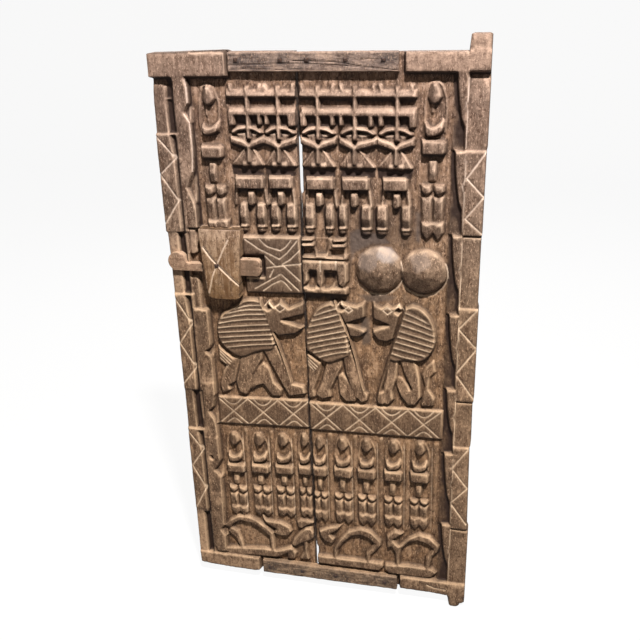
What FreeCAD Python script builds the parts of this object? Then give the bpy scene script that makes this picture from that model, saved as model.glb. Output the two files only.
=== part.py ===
import FreeCAD, Part
import Sketcher
import math
import os

os.makedirs("parts", exist_ok=True)
doc = FreeCAD.newDocument("dogon_door_leaf")
vector = FreeCAD.Vector

# Driving sizes in millimetres.
# X runs to the right, Y into the doorway and Z up; the origin is the end of the lower pivot lug.
sheet = doc.addObject("Spreadsheet::Sheet", "Sizes")
SIZES = [
    # the leaf as a whole
    ("leaf_width", 748),
    ("leaf_height", 1388),
    ("plank_thickness", 22),
    ("border_rise", 18),
    ("inner_strip_rise", 14),
    ("plank_gap", 8),
    ("split_top", 332),
    ("split_foot", 340),
    ("edge_lean", 9),
    ("header_overhang", 5),
    # raised border, hewn from the planks
    ("left_stile_width", 46),
    ("right_stile_width", 42),
    ("head_height", 45),
    ("foot_height", 43),
    ("left_head_length", 180),
    # pivot lugs left standing on the hinge side
    ("lug_width", 41),
    ("lug_length", 33),
    ("lug_round", 25),
    ("lug_inset", 1),
    # carved relief above the ground of the planks
    ("figure_rise", 12),
    ("block_rise", 13),
    ("beast_rise", 10),
    ("limb_rise", 8),
    ("plate_rise", 10),
    ("band_rise", 5),
    ("boss_rise", 28),
    ("boss_radius", 53),
    # battens nailed over the two planks
    ("batten_length", 376),
    ("batten_height", 43),
    ("top_batten_thickness", 16),
    ("foot_batten_thickness", 18),
    ("batten_end_gap", 3),
    ("batten_head_gap", 13),
    ("batten_proud", 5),
    ("batten_chamfer", 3),
    # forged nails, spikes and stud
    ("nail_side", 4),
    ("nail_head_radius", 5),
    ("nail_head_height", 2),
    ("nail_clinch", 14),
    ("nail_inset", 21),
    ("hole_clearance", 0.1),
    ("edge_tolerance", 0.1),
    ("spike_reach", 26),
    ("stud_length", 12),
    # lock case
    ("case_from_edge", 90),
    ("case_drop", 394),
    ("case_head_width", 104),
    ("case_foot_width", 80),
    ("case_height", 175),
    ("case_depth", 40),
    ("case_bulge_radius", 300),
    ("case_bed_clearance", 1),
    ("case_foot_corner", 18),
    # bolt
    ("bolt_length", 232),
    ("bolt_from_edge", 2),
    ("bolt_drop", 463),
    ("bolt_body_height", 46),
    ("bolt_body_length", 122),
    ("bolt_arm_height", 26),
    ("bolt_arm_lift", 5),
    ("bolt_thickness", 20),
    ("bolt_seat", 3),
    ("bolt_knob_radius", 23),
    ("bolt_end_radius", 9),
    ("bolt_play", 0.4),
    ("bolt_throw", 40),
    ("bolt_spare_travel", 5),
    # key way and tumblers
    ("key_way_height", 10),
    ("key_way_width", 7),
    ("key_way_length", 92),
    ("pin_radius", 3.5),
    ("pin_length", 32),
    ("pin_spacing", 22),
    ("pin_clearance", 0.3),
    ("pin_lift", 10),
    ("pin_rest_gap", 0.3),
]
for row, (alias, value) in enumerate(SIZES, start=1):
    sheet.set("A%d" % row, alias)
    sheet.set("B%d" % row, str(value))
    sheet.setAlias("B%d" % row, alias)
doc.recompute()
size = {alias: float(sheet.get(alias)) for alias, value in SIZES}


def bind(thing, **expressions):
    """Ties properties of a document object to expressions; a double underscore stands for a dot."""
    for name, expression in expressions.items():
        thing.setExpression(name.replace("__", "."), expression)


def cell(expression):
    """Writes the sheet's name before each alias of an expression."""
    words = []
    for word in expression.split():
        words.append("Sizes." + word if word in size else word)
    return " ".join(words)


def place(thing, across, into, up):
    """Binds the place of a document object, given as expressions along X, Y and Z."""
    bind(thing, Placement__Base__x=cell(across), Placement__Base__y=cell(into), Placement__Base__z=cell(up))


# Places that several pieces share, as expressions of the driving sizes.
LEAF_LEFT = "( lug_width / 2 + lug_inset - leaf_width )"
LEAF_TOP = "( lug_length + leaf_height )"
BACK = "( ( plank_thickness + border_rise ) / 2 )"
GROUND = "( ( plank_thickness + border_rise ) / 2 - plank_thickness )"
CASE_FACE = GROUND + " - case_depth"
BOLT_SEAT = GROUND + " - bolt_seat"
BOLT_BACK = BOLT_SEAT + " - bolt_play"
BOLT_FACE = BOLT_BACK + " - bolt_thickness"
CASE_MIDDLE = LEAF_LEFT + " + case_from_edge + case_head_width / 2"
BOLT_TOP = LEAF_TOP + " - bolt_drop"
BOLT_LEFT = LEAF_LEFT + " + bolt_from_edge"
BOLT_RIGHT = BOLT_LEFT + " + bolt_length"
PIN_DEPTH = BOLT_BACK + " - bolt_thickness / 2"

leaf_left = size["lug_width"] / 2 + size["lug_inset"] - size["leaf_width"]
leaf_top = size["lug_length"] + size["leaf_height"]
ground = (size["plank_thickness"] + size["border_rise"]) / 2 - size["plank_thickness"]


def box(name, wide, deep, high, across, into, up):
    """A box with bound sides and a bound near, left and lower corner."""
    solid = doc.addObject("Part::Box", name)
    bind(solid, Length=cell(wide), Width=cell(deep), Height=cell(high))
    place(solid, across, into, up)
    return solid


def joined(name, pieces):
    """Several solids fused into one."""
    fusion = doc.addObject("Part::MultiFuse", name)
    fusion.Shapes = pieces
    fusion.Refine = False
    return fusion


def cut(name, base, tools):
    """A solid with tools cut out of it."""
    tool = tools[0]
    if len(tools) > 1:
        tool = doc.addObject("Part::Compound", name + "_tools")
        tool.Links = tools
    result = doc.addObject("Part::Cut", name)
    result.Base = base
    result.Tool = tool
    result.Refine = False
    return result


# Plank slabs: each outline is drawn from the leaf's lower left corner and padded from the back.
def plank_body(name):
    """A body whose own origin is the leaf's lower left corner at mid thickness."""
    body = doc.addObject("PartDesign::Body", name)
    place(body, LEAF_LEFT, "0", "lug_length")
    return body


def pad_outline(body, name, corners, rear, depth):
    """Pads the polygon through the corners, pairs of expressions, forward from a rear plane."""
    plane = [p for p in body.Origin.OriginFeatures if p.Role == "XZ_Plane"][0]
    sketch = body.newObject("Sketcher::SketchObject", name + "_sketch")
    sketch.AttachmentSupport = [(plane, "")]
    sketch.MapMode = "FlatFace"
    sketch.setExpression("AttachmentOffset.Base.z", cell("0 - ( " + rear + " )"))
    points = []
    for across, up in corners:
        points.append(vector(sketch.evalExpression(cell(across)), sketch.evalExpression(cell(up)), 0))
    count = len(points)
    for index in range(count):
        sketch.addGeometry(Part.LineSegment(points[index], points[(index + 1) % count]), False)
    for index in range(count):
        sketch.addConstraint(Sketcher.Constraint("Coincident", index, 2, (index + 1) % count, 1))
    for index, (across, up) in enumerate(corners):
        for kind, expression, value in (("X", across, points[index].x), ("Y", up, points[index].y)):
            constraint = Sketcher.Constraint("Distance" + kind, -1, 1, index, 1, value)
            number = sketch.addConstraint(constraint)
            sketch.setExpression("Constraints[%d]" % number, cell(expression))
    pad = body.newObject("PartDesign::Pad", name)
    pad.Profile = sketch
    bind(pad, Length=cell(depth))
    sketch.Visibility = False
    return pad


FULL = "plank_thickness + border_rise"

left_body = plank_body("left_plank_body")
LEFT_SLAB = [
    ("0", "leaf_height"),
    ("split_top", "leaf_height"),
    ("split_foot", "0"),
    ("edge_lean", "0"),
    ("edge_lean + header_overhang", "foot_height"),
    ("header_overhang", "leaf_height - head_height"),
    ("0", "leaf_height - head_height"),
]
pad_outline(left_body, "left_slab", LEFT_SLAB, BACK, "plank_thickness")
LEFT_BORDER = [
    ("0", "leaf_height"),
    ("left_head_length", "leaf_height"),
    ("left_head_length", "leaf_height - head_height"),
    ("left_stile_width", "leaf_height - head_height"),
    ("left_stile_width + edge_lean", "foot_height"),
    ("left_head_length", "foot_height"),
    ("left_head_length", "0"),
    ("edge_lean", "0"),
    ("edge_lean + header_overhang", "foot_height"),
    ("header_overhang", "leaf_height - head_height"),
    ("0", "leaf_height - head_height"),
]
pad_outline(left_body, "left_border", LEFT_BORDER, BACK, FULL)

right_body = plank_body("right_plank_body")
RIGHT_SLAB = [
    ("split_top + plank_gap", "leaf_height"),
    ("leaf_width", "leaf_height"),
    ("leaf_width", "0"),
    ("split_foot + plank_gap", "0"),
]
pad_outline(right_body, "right_slab", RIGHT_SLAB, BACK, "plank_thickness")
RIGHT_HEAD_START = "left_head_length + batten_end_gap + batten_length + batten_head_gap"
RIGHT_BORDER = [
    ("leaf_width", "leaf_height"),
    ("leaf_width", "0"),
    (RIGHT_HEAD_START, "0"),
    (RIGHT_HEAD_START, "foot_height"),
    ("leaf_width - right_stile_width", "foot_height"),
    ("leaf_width - right_stile_width", "leaf_height - head_height"),
    (RIGHT_HEAD_START, "leaf_height - head_height"),
    (RIGHT_HEAD_START, "leaf_height"),
]
pad_outline(right_body, "right_border", RIGHT_BORDER, BACK, FULL)


# Carved relief: every outline is in shares of a field of the leaf, across from its left and down.
def field(left_share, right_share, top_share, foot_share):
    """A field of the leaf, given in shares of the leaf's width and height, as lengths."""
    left = leaf_left + left_share * size["leaf_width"]
    right = leaf_left + right_share * size["leaf_width"]
    top = leaf_top - top_share * size["leaf_height"]
    foot = leaf_top - foot_share * size["leaf_height"]
    return left, right, top, foot


def ring(area, shares, into, spread_share=1.0):
    """A closed outline in an area at one depth, drawn in about its middle by the spread share."""
    left, right, top, foot = area
    middle_u = sum(u for u, v in shares) / len(shares)
    middle_v = sum(v for u, v in shares) / len(shares)
    points = []
    for u, v in shares:
        u = middle_u + (u - middle_u) * spread_share
        v = middle_v + (v - middle_v) * spread_share
        points.append(vector(left + u * (right - left), into, top - v * (top - foot)))
    return Part.makePolygon(points + points[:1])


def prism(area, shares, rise):
    """An upright walled relief rooted in the plank."""
    root = size["plank_thickness"] / 2
    face = Part.Face(ring(area, shares, ground + root))
    return face.extrude(vector(0, -(rise + root), 0))


def facetted(area, shares, rise, crown_share=0.6):
    """A hewn relief with slanting sides that draw in to the crown share."""
    base = Part.Face(ring(area, shares, ground)).extrude(vector(0, size["plank_thickness"] / 2, 0))
    sections = [ring(area, shares, ground), ring(area, shares, ground - rise, crown_share)]
    crown = Part.makeLoft(sections, True, True)
    return base.fuse(crown)


def bar(left_share, right_share, top_share, foot_share):
    """The four corners of an upright rectangle, in shares."""
    return [
        (left_share, top_share),
        (right_share, top_share),
        (right_share, foot_share),
        (left_share, foot_share),
    ]


WHOLE_SHARES = bar(0, 1, 0, 1)


def mirrored(shares):
    """An outline turned over left to right."""
    return [(1 - u, v) for u, v in reversed(shares)]


OVAL_SHARES = [
    (0.2, 0.08), (0.5, 0.0), (0.8, 0.08), (1.0, 0.5), (0.8, 0.92), (0.5, 1.0), (0.2, 0.92), (0.0, 0.5),
]


def inside(area, left_share, right_share, top_share, foot_share):
    """A smaller area inside an area."""
    left, right, top, foot = area
    wide = right - left
    high = top - foot
    across = (left + left_share * wide, left + right_share * wide)
    up = (top - top_share * high, top - foot_share * high)
    return across + up


# Mask with crossbars: a post, two horned bars, a pair of wings and a skirt.
MASK_UPPER_BAR_SHARES = [
    (0.0, 0.0), (0.15, 0.0), (0.18, 0.11), (0.82, 0.11), (0.85, 0.0), (1.0, 0.0), (1.0, 0.18), (0.0, 0.18),
]
MASK_LOWER_BAR_SHARES = [
    (0.0, 0.3), (1.0, 0.3), (1.0, 0.5), (0.87, 0.5), (0.87, 0.38), (0.13, 0.38), (0.13, 0.5), (0.0, 0.5),
]
MASK_UPPER_WING_SHARES = [(0.0, 0.555), (0.5, 0.48), (1.0, 0.555), (0.5, 0.585)]
MASK_LOWER_WING_SHARES = [(0.0, 0.6), (0.5, 0.64), (1.0, 0.6), (0.56, 0.75), (0.44, 0.75)]
MASK_SKIRT_SHARES = [(0.44, 0.76), (0.56, 0.76), (0.97, 0.96), (0.03, 0.96)]


def mask(area):
    """The solids of one mask."""
    rise = size["figure_rise"]
    limb = size["limb_rise"]
    return [
        prism(area, bar(0.44, 0.56, 0.03, 0.68), rise),
        prism(area, MASK_UPPER_BAR_SHARES, limb),
        prism(area, MASK_LOWER_BAR_SHARES, limb),
        facetted(area, MASK_UPPER_WING_SHARES, limb, crown_share=0.5),
        facetted(area, MASK_LOWER_WING_SHARES, rise, crown_share=0.5),
        facetted(area, MASK_SKIRT_SHARES, limb, crown_share=0.7),
        facetted(inside(area, 0.26, 0.6, 0.92, 1.0), OVAL_SHARES, rise, crown_share=0.6),
    ]


# Seated pair under a beam: a block, a hanging peg, two slanting arms and two standing posts.
PEG_SHARES = [(0.38, 0.26), (0.62, 0.26), (0.62, 0.5), (0.5, 0.63), (0.38, 0.5)]
ARM_SHARES = [(0.0, 0.2), (0.2, 0.2), (0.28, 0.5), (0.12, 0.58)]


def seated_pair(area):
    """The solids of one seated pair."""
    rise = size["block_rise"]
    limb = size["limb_rise"]
    return [
        prism(area, bar(0.0, 1.0, 0.02, 0.2), rise),
        facetted(area, PEG_SHARES, rise, crown_share=0.7),
        prism(area, ARM_SHARES, limb),
        prism(area, mirrored(ARM_SHARES), limb),
        facetted(area, bar(0.04, 0.32, 0.5, 1.0), rise, crown_share=0.75),
        facetted(area, bar(0.68, 0.96, 0.5, 1.0), rise, crown_share=0.75),
    ]


# Standing figure: head, neck, cupped arms, belt block, trunk, hips, thighs and feet.
CUP_SHARES = [(0.0, 0.22), (0.16, 0.3), (0.84, 0.3), (1.0, 0.22), (0.92, 0.32), (0.6, 0.38), (0.2, 0.38)]


def standing_figure(area):
    """The solids of one standing figure."""
    rise = size["figure_rise"]
    limb = size["limb_rise"]
    solids = [
        facetted(inside(area, 0.16, 0.84, 0.0, 0.14), OVAL_SHARES, rise, crown_share=0.55),
        prism(area, bar(0.38, 0.62, 0.13, 0.26), limb),
        facetted(area, CUP_SHARES, limb, crown_share=0.8),
        facetted(area, bar(0.0, 1.0, 0.4, 0.5), rise, crown_share=0.8),
        facetted(area, bar(0.3, 0.66, 0.51, 0.66), rise, crown_share=0.7),
    ]
    for side in (lambda shares: shares, mirrored):
        solids.append(facetted(area, side(bar(0.02, 0.48, 0.68, 0.77)), rise, crown_share=0.6))
        solids.append(facetted(area, side(bar(0.06, 0.46, 0.775, 0.92)), rise, crown_share=0.7))
        solids.append(facetted(area, side(bar(0.06, 0.46, 0.925, 1.0)), limb, crown_share=0.6))
    return solids


# Maned beast: striped body, open jawed head, slanting foreleg, thigh, shin, hind leg and tail.
BEAST_BODY_SHARES = [
    (0.34, 0.01), (0.52, 0.01), (0.58, 0.15), (0.63, 0.3), (0.67, 0.48), (0.4, 0.54), (0.27, 0.6),
    (0.06, 0.46), (0.01, 0.35), (0.02, 0.24), (0.07, 0.17), (0.18, 0.11), (0.27, 0.07),
]
BEAST_HEAD_SHARES = [
    (0.54, 0.07), (0.62, 0.02), (0.67, 0.08), (0.74, 0.02), (0.83, 0.08), (1.0, 0.02), (1.0, 0.13),
    (0.77, 0.17), (0.97, 0.23), (0.98, 0.27), (0.89, 0.32), (0.69, 0.36), (0.64, 0.31),
]
BEAST_FORELEG_SHARES = [
    (0.54, 0.46), (0.65, 0.42), (0.82, 0.83), (0.96, 0.86), (0.97, 0.94), (0.79, 0.97), (0.67, 0.78),
]
BEAST_THIGH_SHARES = [
    (0.31, 0.5), (0.49, 0.48), (0.52, 0.65), (0.42, 0.76), (0.37, 0.84), (0.36, 0.93), (0.31, 0.99),
    (0.22, 0.99), (0.18, 0.89),
]
BEAST_SHIN_SHARES = [
    (0.45, 0.67), (0.5, 0.61), (0.58, 0.7), (0.63, 0.83), (0.72, 0.91), (0.72, 0.98), (0.61, 0.99),
    (0.52, 0.91),
]
BEAST_HIND_LEG_SHARES = [
    (0.15, 0.5), (0.26, 0.56), (0.25, 0.72), (0.17, 0.88), (0.09, 0.92), (0.11, 0.98), (0.02, 0.99),
    (0.02, 0.91), (0.09, 0.76),
]
BEAST_TAIL_SHARES = [(0.04, 0.4), (0.17, 0.6), (0.11, 0.71), (0.02, 0.65)]


def beast(area, faces_left=False):
    """The solids of one beast, which faces right unless it is turned."""
    side = mirrored if faces_left else (lambda shares: shares)
    rise = size["beast_rise"]
    limb = size["limb_rise"]
    return [
        prism(area, side(BEAST_BODY_SHARES), rise),
        prism(area, side(BEAST_HEAD_SHARES), limb),
        prism(area, side(BEAST_FORELEG_SHARES), limb),
        prism(area, side(BEAST_THIGH_SHARES), limb),
        prism(area, side(BEAST_SHIN_SHARES), limb),
        prism(area, side(BEAST_HIND_LEG_SHARES), limb),
        prism(area, side(BEAST_TAIL_SHARES), limb),
    ]


# Browsing animal at the foot: an arched body on two legs, and its head held forward.
ARCH_SHARES = [
    (0.0, 1.0), (0.02, 0.66), (0.1, 0.42), (0.3, 0.14), (0.55, 0.0), (0.8, 0.1), (1.0, 0.33), (1.0, 0.5),
    (0.86, 0.7), (0.84, 1.0), (0.74, 1.0), (0.75, 0.68), (0.86, 0.46), (0.72, 0.28), (0.54, 0.22),
    (0.36, 0.3), (0.2, 0.52), (0.12, 0.72), (0.11, 1.0),
]
CLUB_SHARES = [(0.0, 0.55), (0.2, 0.2), (0.95, 0.0), (0.75, 0.4), (0.5, 0.62), (0.62, 1.0), (0.2, 0.95)]
HARE_SHARES = [
    (0.0, 0.8), (0.2, 0.45), (0.5, 0.25), (0.45, 0.05), (0.95, 0.0), (0.72, 0.22), (1.0, 0.45), (0.85, 0.62),
    (0.6, 0.68), (0.62, 1.0), (0.45, 1.0), (0.42, 0.72), (0.2, 0.9),
]


# Face plaque beside the split: two round eyes over a brow bar, a spine, two cheeks and a chin bar.
def face_plaque(area):
    """The solids of the face plaque."""
    rise = size["plate_rise"]
    limb = size["limb_rise"]
    solids = [
        prism(area, bar(0.0, 1.0, 0.34, 0.58), limb),
        prism(area, bar(0.4, 0.6, 0.34, 0.9), rise),
        prism(area, bar(0.0, 0.16, 0.58, 0.9), limb),
        prism(area, bar(0.84, 1.0, 0.58, 0.9), limb),
        prism(area, bar(0.0, 1.0, 0.89, 1.0), limb),
    ]
    solids.append(facetted(inside(area, 0.02, 0.24, 0.0, 0.18), OVAL_SHARES, limb, crown_share=0.6))
    solids.append(facetted(inside(area, 0.72, 0.96, 0.0, 0.18), OVAL_SHARES, limb, crown_share=0.6))
    return solids


def boss(centre_share, drop_share):
    """A round boss with flat facets left by the adze."""
    sides = 12
    radius = size["boss_radius"]
    rings = []
    for spread_share, rise_share in ((1.0, 0.0), (0.86, 0.42), (0.56, 0.8), (0.16, 1.0)):
        points = []
        for step in range(sides + 1):
            angle = 2 * math.pi * (step % sides) / sides
            points.append(vector(
                leaf_left + centre_share * size["leaf_width"] + radius * spread_share * math.cos(angle),
                ground - rise_share * size["boss_rise"],
                leaf_top - drop_share * size["leaf_height"] + radius * spread_share * math.sin(angle),
            ))
        rings.append(Part.makePolygon(points))
    root = Part.Face(rings[0]).extrude(vector(0, size["plank_thickness"] / 2, 0))
    return root.fuse(Part.makeLoft(rings, True, True))


def carving(name, solids):
    """One document object for all the relief of a plank."""
    feature = doc.addObject("Part::Feature", name)
    feature.Shape = solids[0].multiFuse(solids[1:])
    return feature


# Rows of relief: shares of the leaf's height down from its top.
MASK_ROW_SHARES = (0.047, 0.181)
PAIR_ROW_SHARES = (0.19, 0.29)
PLATE_ROW_SHARES = (0.299, 0.398)
BEAST_ROW_SHARES = (0.41, 0.606)
BAND_ROW_SHARES = (0.61, 0.669)
FIGURE_ROW_SHARES = (0.683, 0.868)
SCENE_ROW_SHARES = (0.868, 0.968)

left_relief = []
for left_share, right_share in ((0.236, 0.338), (0.34, 0.442)):
    left_relief += mask(field(left_share, right_share, *MASK_ROW_SHARES))
for left_share, right_share in ((0.245, 0.334), (0.35, 0.422)):
    left_relief += seated_pair(field(left_share, right_share, *PAIR_ROW_SHARES))
left_relief += standing_figure(field(0.14, 0.207, 0.048, 0.282))
left_relief += beast(field(0.14, 0.437, *BEAST_ROW_SHARES))
for middle_share in (0.174, 0.265, 0.355, 0.427):
    half_share = 0.032 if middle_share < 0.4 else 0.022
    area = field(middle_share - half_share, middle_share + half_share, *FIGURE_ROW_SHARES)
    left_relief += standing_figure(area)
left_relief.append(prism(field(0.12, 0.442, *BAND_ROW_SHARES), WHOLE_SHARES, size["band_rise"]))
LEFT_SCENE = field(0.11, 0.442, *SCENE_ROW_SHARES)
left_relief.append(prism(inside(LEFT_SCENE, 0.0, 0.58, 0.06, 0.85), ARCH_SHARES, size["beast_rise"]))
club = inside(LEFT_SCENE, 0.42, 0.78, 0.0, 0.46)
left_relief.append(prism(club, mirrored(CLUB_SHARES), size["beast_rise"]))
left_relief.append(prism(inside(LEFT_SCENE, 0.72, 1.0, 0.0, 0.95), HARE_SHARES, size["beast_rise"]))
left_relief.append(prism(LEFT_SCENE, bar(0.02, 0.62, 0.83, 1.0), size["beast_rise"]))

# Plate at the right of the lock, let out later for the case and for the bolt's end.
left_relief.append(prism(field(0.12, 0.442, *PLATE_ROW_SHARES), WHOLE_SHARES, size["plate_rise"]))

# Inner strips beside the stiles, notched along the edge towards the middle.
LEFT_STRIP_SHARES = [
    (0.0, 0.0), (0.9, 0.0), (0.9, 0.045), (0.5, 0.064), (0.9, 0.083), (0.88, 0.16), (0.5, 0.22), (0.85, 0.25),
    (0.85, 0.29), (0.65, 0.295), (0.65, 0.42), (0.85, 0.43), (0.85, 0.5), (0.6, 0.513), (0.88, 0.525),
    (0.9, 0.62), (0.5, 0.648), (0.9, 0.68), (0.9, 0.764), (0.55, 0.783), (0.9, 0.8), (0.85, 0.86),
    (0.6, 0.885), (0.85, 0.905), (0.6, 0.922), (0.85, 0.94), (0.85, 1.0), (0.2, 1.0),
]
RIGHT_STRIP_SHARES = [
    (0.2, 0.0), (0.9, 0.0), (0.9, 0.045), (0.6, 0.053), (0.95, 0.12), (0.7, 0.13), (0.95, 0.25), (0.5, 0.26),
    (0.5, 0.335), (0.95, 0.4), (0.6, 0.41), (0.5, 0.46), (0.95, 0.54), (0.5, 0.55), (0.5, 0.62), (0.95, 0.67),
    (0.5, 0.68), (0.45, 0.76), (0.95, 0.82), (0.5, 0.83), (0.6, 0.92), (0.9, 0.93), (0.9, 1.0), (0.1, 1.0),
    (0.0, 0.5),
]
head_share = size["head_height"] / size["leaf_height"]
foot_share = 1 - size["foot_height"] / size["leaf_height"]
length_of_strip = field(0.068, 0.128, head_share, foot_share)
left_relief.append(prism(length_of_strip, LEFT_STRIP_SHARES, size["inner_strip_rise"]))

right_relief = []
for left_share, right_share in ((0.458, 0.568), (0.57, 0.68), (0.684, 0.794)):
    right_relief += mask(field(left_share, right_share, *MASK_ROW_SHARES))
for left_share, right_share in ((0.462, 0.552), (0.576, 0.656), (0.698, 0.782)):
    right_relief += seated_pair(field(left_share, right_share, *PAIR_ROW_SHARES))
right_relief += standing_figure(field(0.815, 0.882, 0.047, 0.272))
right_relief += beast(field(0.462, 0.668, 0.405, 0.598))
right_relief += beast(field(0.664, 0.873, 0.402, 0.598), faces_left=True)
for middle_share in (0.488, 0.563, 0.648, 0.74, 0.828):
    half_share = 0.032 if middle_share > 0.5 else 0.023
    area = field(middle_share - half_share, middle_share + half_share, 0.68, 0.858)
    right_relief += standing_figure(area)
right_relief.append(prism(field(0.462, 0.884, 0.605, 0.662), WHOLE_SHARES, size["band_rise"]))
for left_share, right_share, club_left_share, club_right_share in (
        (0.52, 0.705, 0.465, 0.57), (0.745, 0.905, 0.704, 0.775)):
    arch = field(left_share, right_share, 0.866, 0.955)
    club = field(club_left_share, club_right_share, 0.866, 0.915)
    right_relief.append(prism(arch, ARCH_SHARES, size["beast_rise"]))
    right_relief.append(prism(club, CLUB_SHARES, size["beast_rise"]))
for left_share, right_share in ((0.468, 0.705), (0.709, 0.899)):
    right_relief.append(prism(field(left_share, right_share, 0.948, 0.968), WHOLE_SHARES, size["beast_rise"]))
right_relief += face_plaque(field(0.459, 0.592, 0.298, 0.396))
right_relief.append(boss(0.688, 0.35))
right_relief.append(boss(0.832, 0.35))
length_of_strip = field(0.898, 0.944, head_share, foot_share)
right_relief.append(prism(length_of_strip, RIGHT_STRIP_SHARES, size["inner_strip_rise"]))

left_carving = carving("left_carving", left_relief)
right_carving = carving("right_carving", right_relief)


# Pivot lugs: square pegs with their corners whittled round.
def lug(name, up):
    """One lug, rooted in the head or foot of the right plank."""
    block = box(name + "_block", "lug_width", FULL, "lug_length + head_height",
                "0 - lug_width / 2", GROUND + " - border_rise", up)
    rod = doc.addObject("Part::Cylinder", name + "_round")
    bind(rod, Radius=cell("lug_round"), Height=cell("lug_length + head_height"))
    place(rod, "0", "0", up)
    whittled = doc.addObject("Part::Common", name)
    whittled.Base = block
    whittled.Tool = rod
    return whittled


lower_lug = lug("lower_lug", "0")
upper_lug = lug("upper_lug", "lug_length + leaf_height - head_height")

# Beds cut in the relief: under the two battens, under the lock case, and along the bolt.
TOP_BATTEN_START = "left_head_length + batten_end_gap"
FOOT_BATTEN_START = "left_head_length + batten_end_gap * 4"
TOP_BATTEN_FOOT = LEAF_TOP + " + batten_proud - batten_height"
FOOT_BATTEN_FOOT = "lug_length - batten_proud"
BED_LEFT = LEAF_LEFT + " + left_head_length"
BED_LENGTH = "batten_end_gap + batten_length + batten_head_gap"
BED_HEIGHT = "batten_height + case_bed_clearance"


def batten_bed(name, up):
    """The room for a batten and its end gaps, down to the ground of the planks."""
    return box(name, BED_LENGTH, "border_rise * 2", BED_HEIGHT, BED_LEFT, GROUND + " - border_rise * 2", up)


case_bed = box(
    "case_bed", "case_head_width + case_bed_clearance * 2", "case_depth",
    "case_height + case_bed_clearance * 2", LEAF_LEFT + " + case_from_edge - case_bed_clearance",
    GROUND + " - case_depth", LEAF_TOP + " - case_drop - case_height - case_bed_clearance")
knob_way = box(
    "knob_way", "left_stile_width", "case_depth", "bolt_knob_radius * 2 + bolt_play * 10",
    LEAF_LEFT, BOLT_SEAT + " - case_depth",
    BOLT_TOP + " - bolt_body_height + bolt_arm_lift - bolt_play")
end_way = box(
    "end_way", "bolt_from_edge + bolt_length + bolt_spare_travel + bolt_play * 5 - left_stile_width",
    "case_depth", "bolt_body_height + bolt_play * 10", LEAF_LEFT + " + left_stile_width",
    BOLT_SEAT + " - case_depth", BOLT_TOP + " - bolt_body_height - bolt_play * 4")

# Nails: square forged shanks through batten and plank, with the points clinched on the back.
# The shares of each row run from the batten's left end to the split, and from the split to its right end.
TOP_NAIL_SHARES = ((0.134, 0.805), (0.1, 0.484, 0.854))
FOOT_NAIL_SHARES = ((0.142, 0.77), (0.236, 0.85))


def shank(name, side, length, across, into, up):
    """A square shank, centred on its line, from a near face into the wood."""
    half = " - ( " + side + " ) / 2"
    return box(name, side, length, side, across + half, into, up + half)


def nail_head(name, across, face, up, outward):
    """A four sided forged head on a face; outward is -1 towards the front and 1 towards the back."""
    head = doc.addObject("Part::Wedge", name)
    half = "nail_side / 2"
    wide = "nail_head_radius"
    near, far = (half, wide) if outward < 0 else (wide, half)
    bind(head, Xmin=cell("0 - " + near), Xmax=cell(near), Zmin=cell("0 - " + near), Zmax=cell(near))
    bind(head, X2min=cell("0 - " + far), X2max=cell(far), Z2min=cell("0 - " + far), Z2max=cell(far))
    head.Ymin = 0
    bind(head, Ymax=cell("nail_head_height"))
    place(head, across, face + (" - nail_head_height" if outward < 0 else ""), up)
    return head


def nail(name, across, face, up, through):
    """A clinched nail and the hole that it fills."""
    body = shank(name + "_shank", "nail_side", through, across, face, up)
    head = nail_head(name + "_head", across, face, up, -1)
    clinch = box(name + "_clinch", "nail_side", "nail_side / 2", "nail_clinch",
                 across + " - nail_side / 2", BACK, up + " - nail_clinch + nail_side / 2")
    hole = shank(name + "_hole", "nail_side + hole_clearance * 2", through, across, face, up)
    return joined(name, [body, head, clinch]), hole


def batten_nails(name, shares, start, split, up, batten_thickness):
    """The nails of one batten in both planks, with the holes that they fill."""
    face = GROUND + " - " + batten_thickness
    left_span = "( %s - ( %s ) )" % (split, start)
    right_start = split + " + plank_gap"
    right_span = "( %s + batten_length - ( %s ) )" % (start, right_start)
    through = "plank_thickness + %s + nail_side / 2" % batten_thickness
    places = [start + " + %s * %s" % (left_span, share) for share in shares[0]]
    places += [right_start + " + %s * %s" % (right_span, share) for share in shares[1]]
    nails = []
    holes = []
    for number, along in enumerate(places, start=1):
        piece, hole = nail("%s_%d" % (name, number), LEAF_LEFT + " + " + along, face, up, through)
        nails.append(piece)
        holes.append(hole)
    group = doc.addObject("Part::Compound", name)
    group.Links = nails
    return group, holes


TOP_NAIL_UP = TOP_BATTEN_FOOT + " + batten_height - nail_inset"
FOOT_NAIL_UP = FOOT_BATTEN_FOOT + " + nail_inset"
top_nails, top_holes = batten_nails(
    "top_batten_nails", TOP_NAIL_SHARES, TOP_BATTEN_START, "split_top",
    TOP_NAIL_UP, "top_batten_thickness")
foot_nails, foot_holes = batten_nails(
    "bottom_batten_nails", FOOT_NAIL_SHARES, FOOT_BATTEN_START, "split_foot",
    FOOT_NAIL_UP, "foot_batten_thickness")


# Battens: hewn bars lying on the ground of the planks between the raised corners.
def batten(name, start, up, deep, holes):
    """A hewn bar with its front arrises taken off."""
    bar_body = box(name + "_bar", "batten_length", deep, "batten_height", LEAF_LEFT + " + " + start,
                   GROUND + " - " + deep, up)
    doc.recompute()
    edges = []
    near = bar_body.Shape.BoundBox.YMin
    for number, edge in enumerate(bar_body.Shape.Edges, start=1):
        if max(abs(corner.Y - near) for corner in edge.Vertexes) < size["edge_tolerance"]:
            edges.append((number, size["batten_chamfer"], size["batten_chamfer"]))
    worn = doc.addObject("Part::Chamfer", name + "_worn")
    worn.Base = bar_body
    worn.Edges = edges
    return cut(name, worn, holes)


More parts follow.
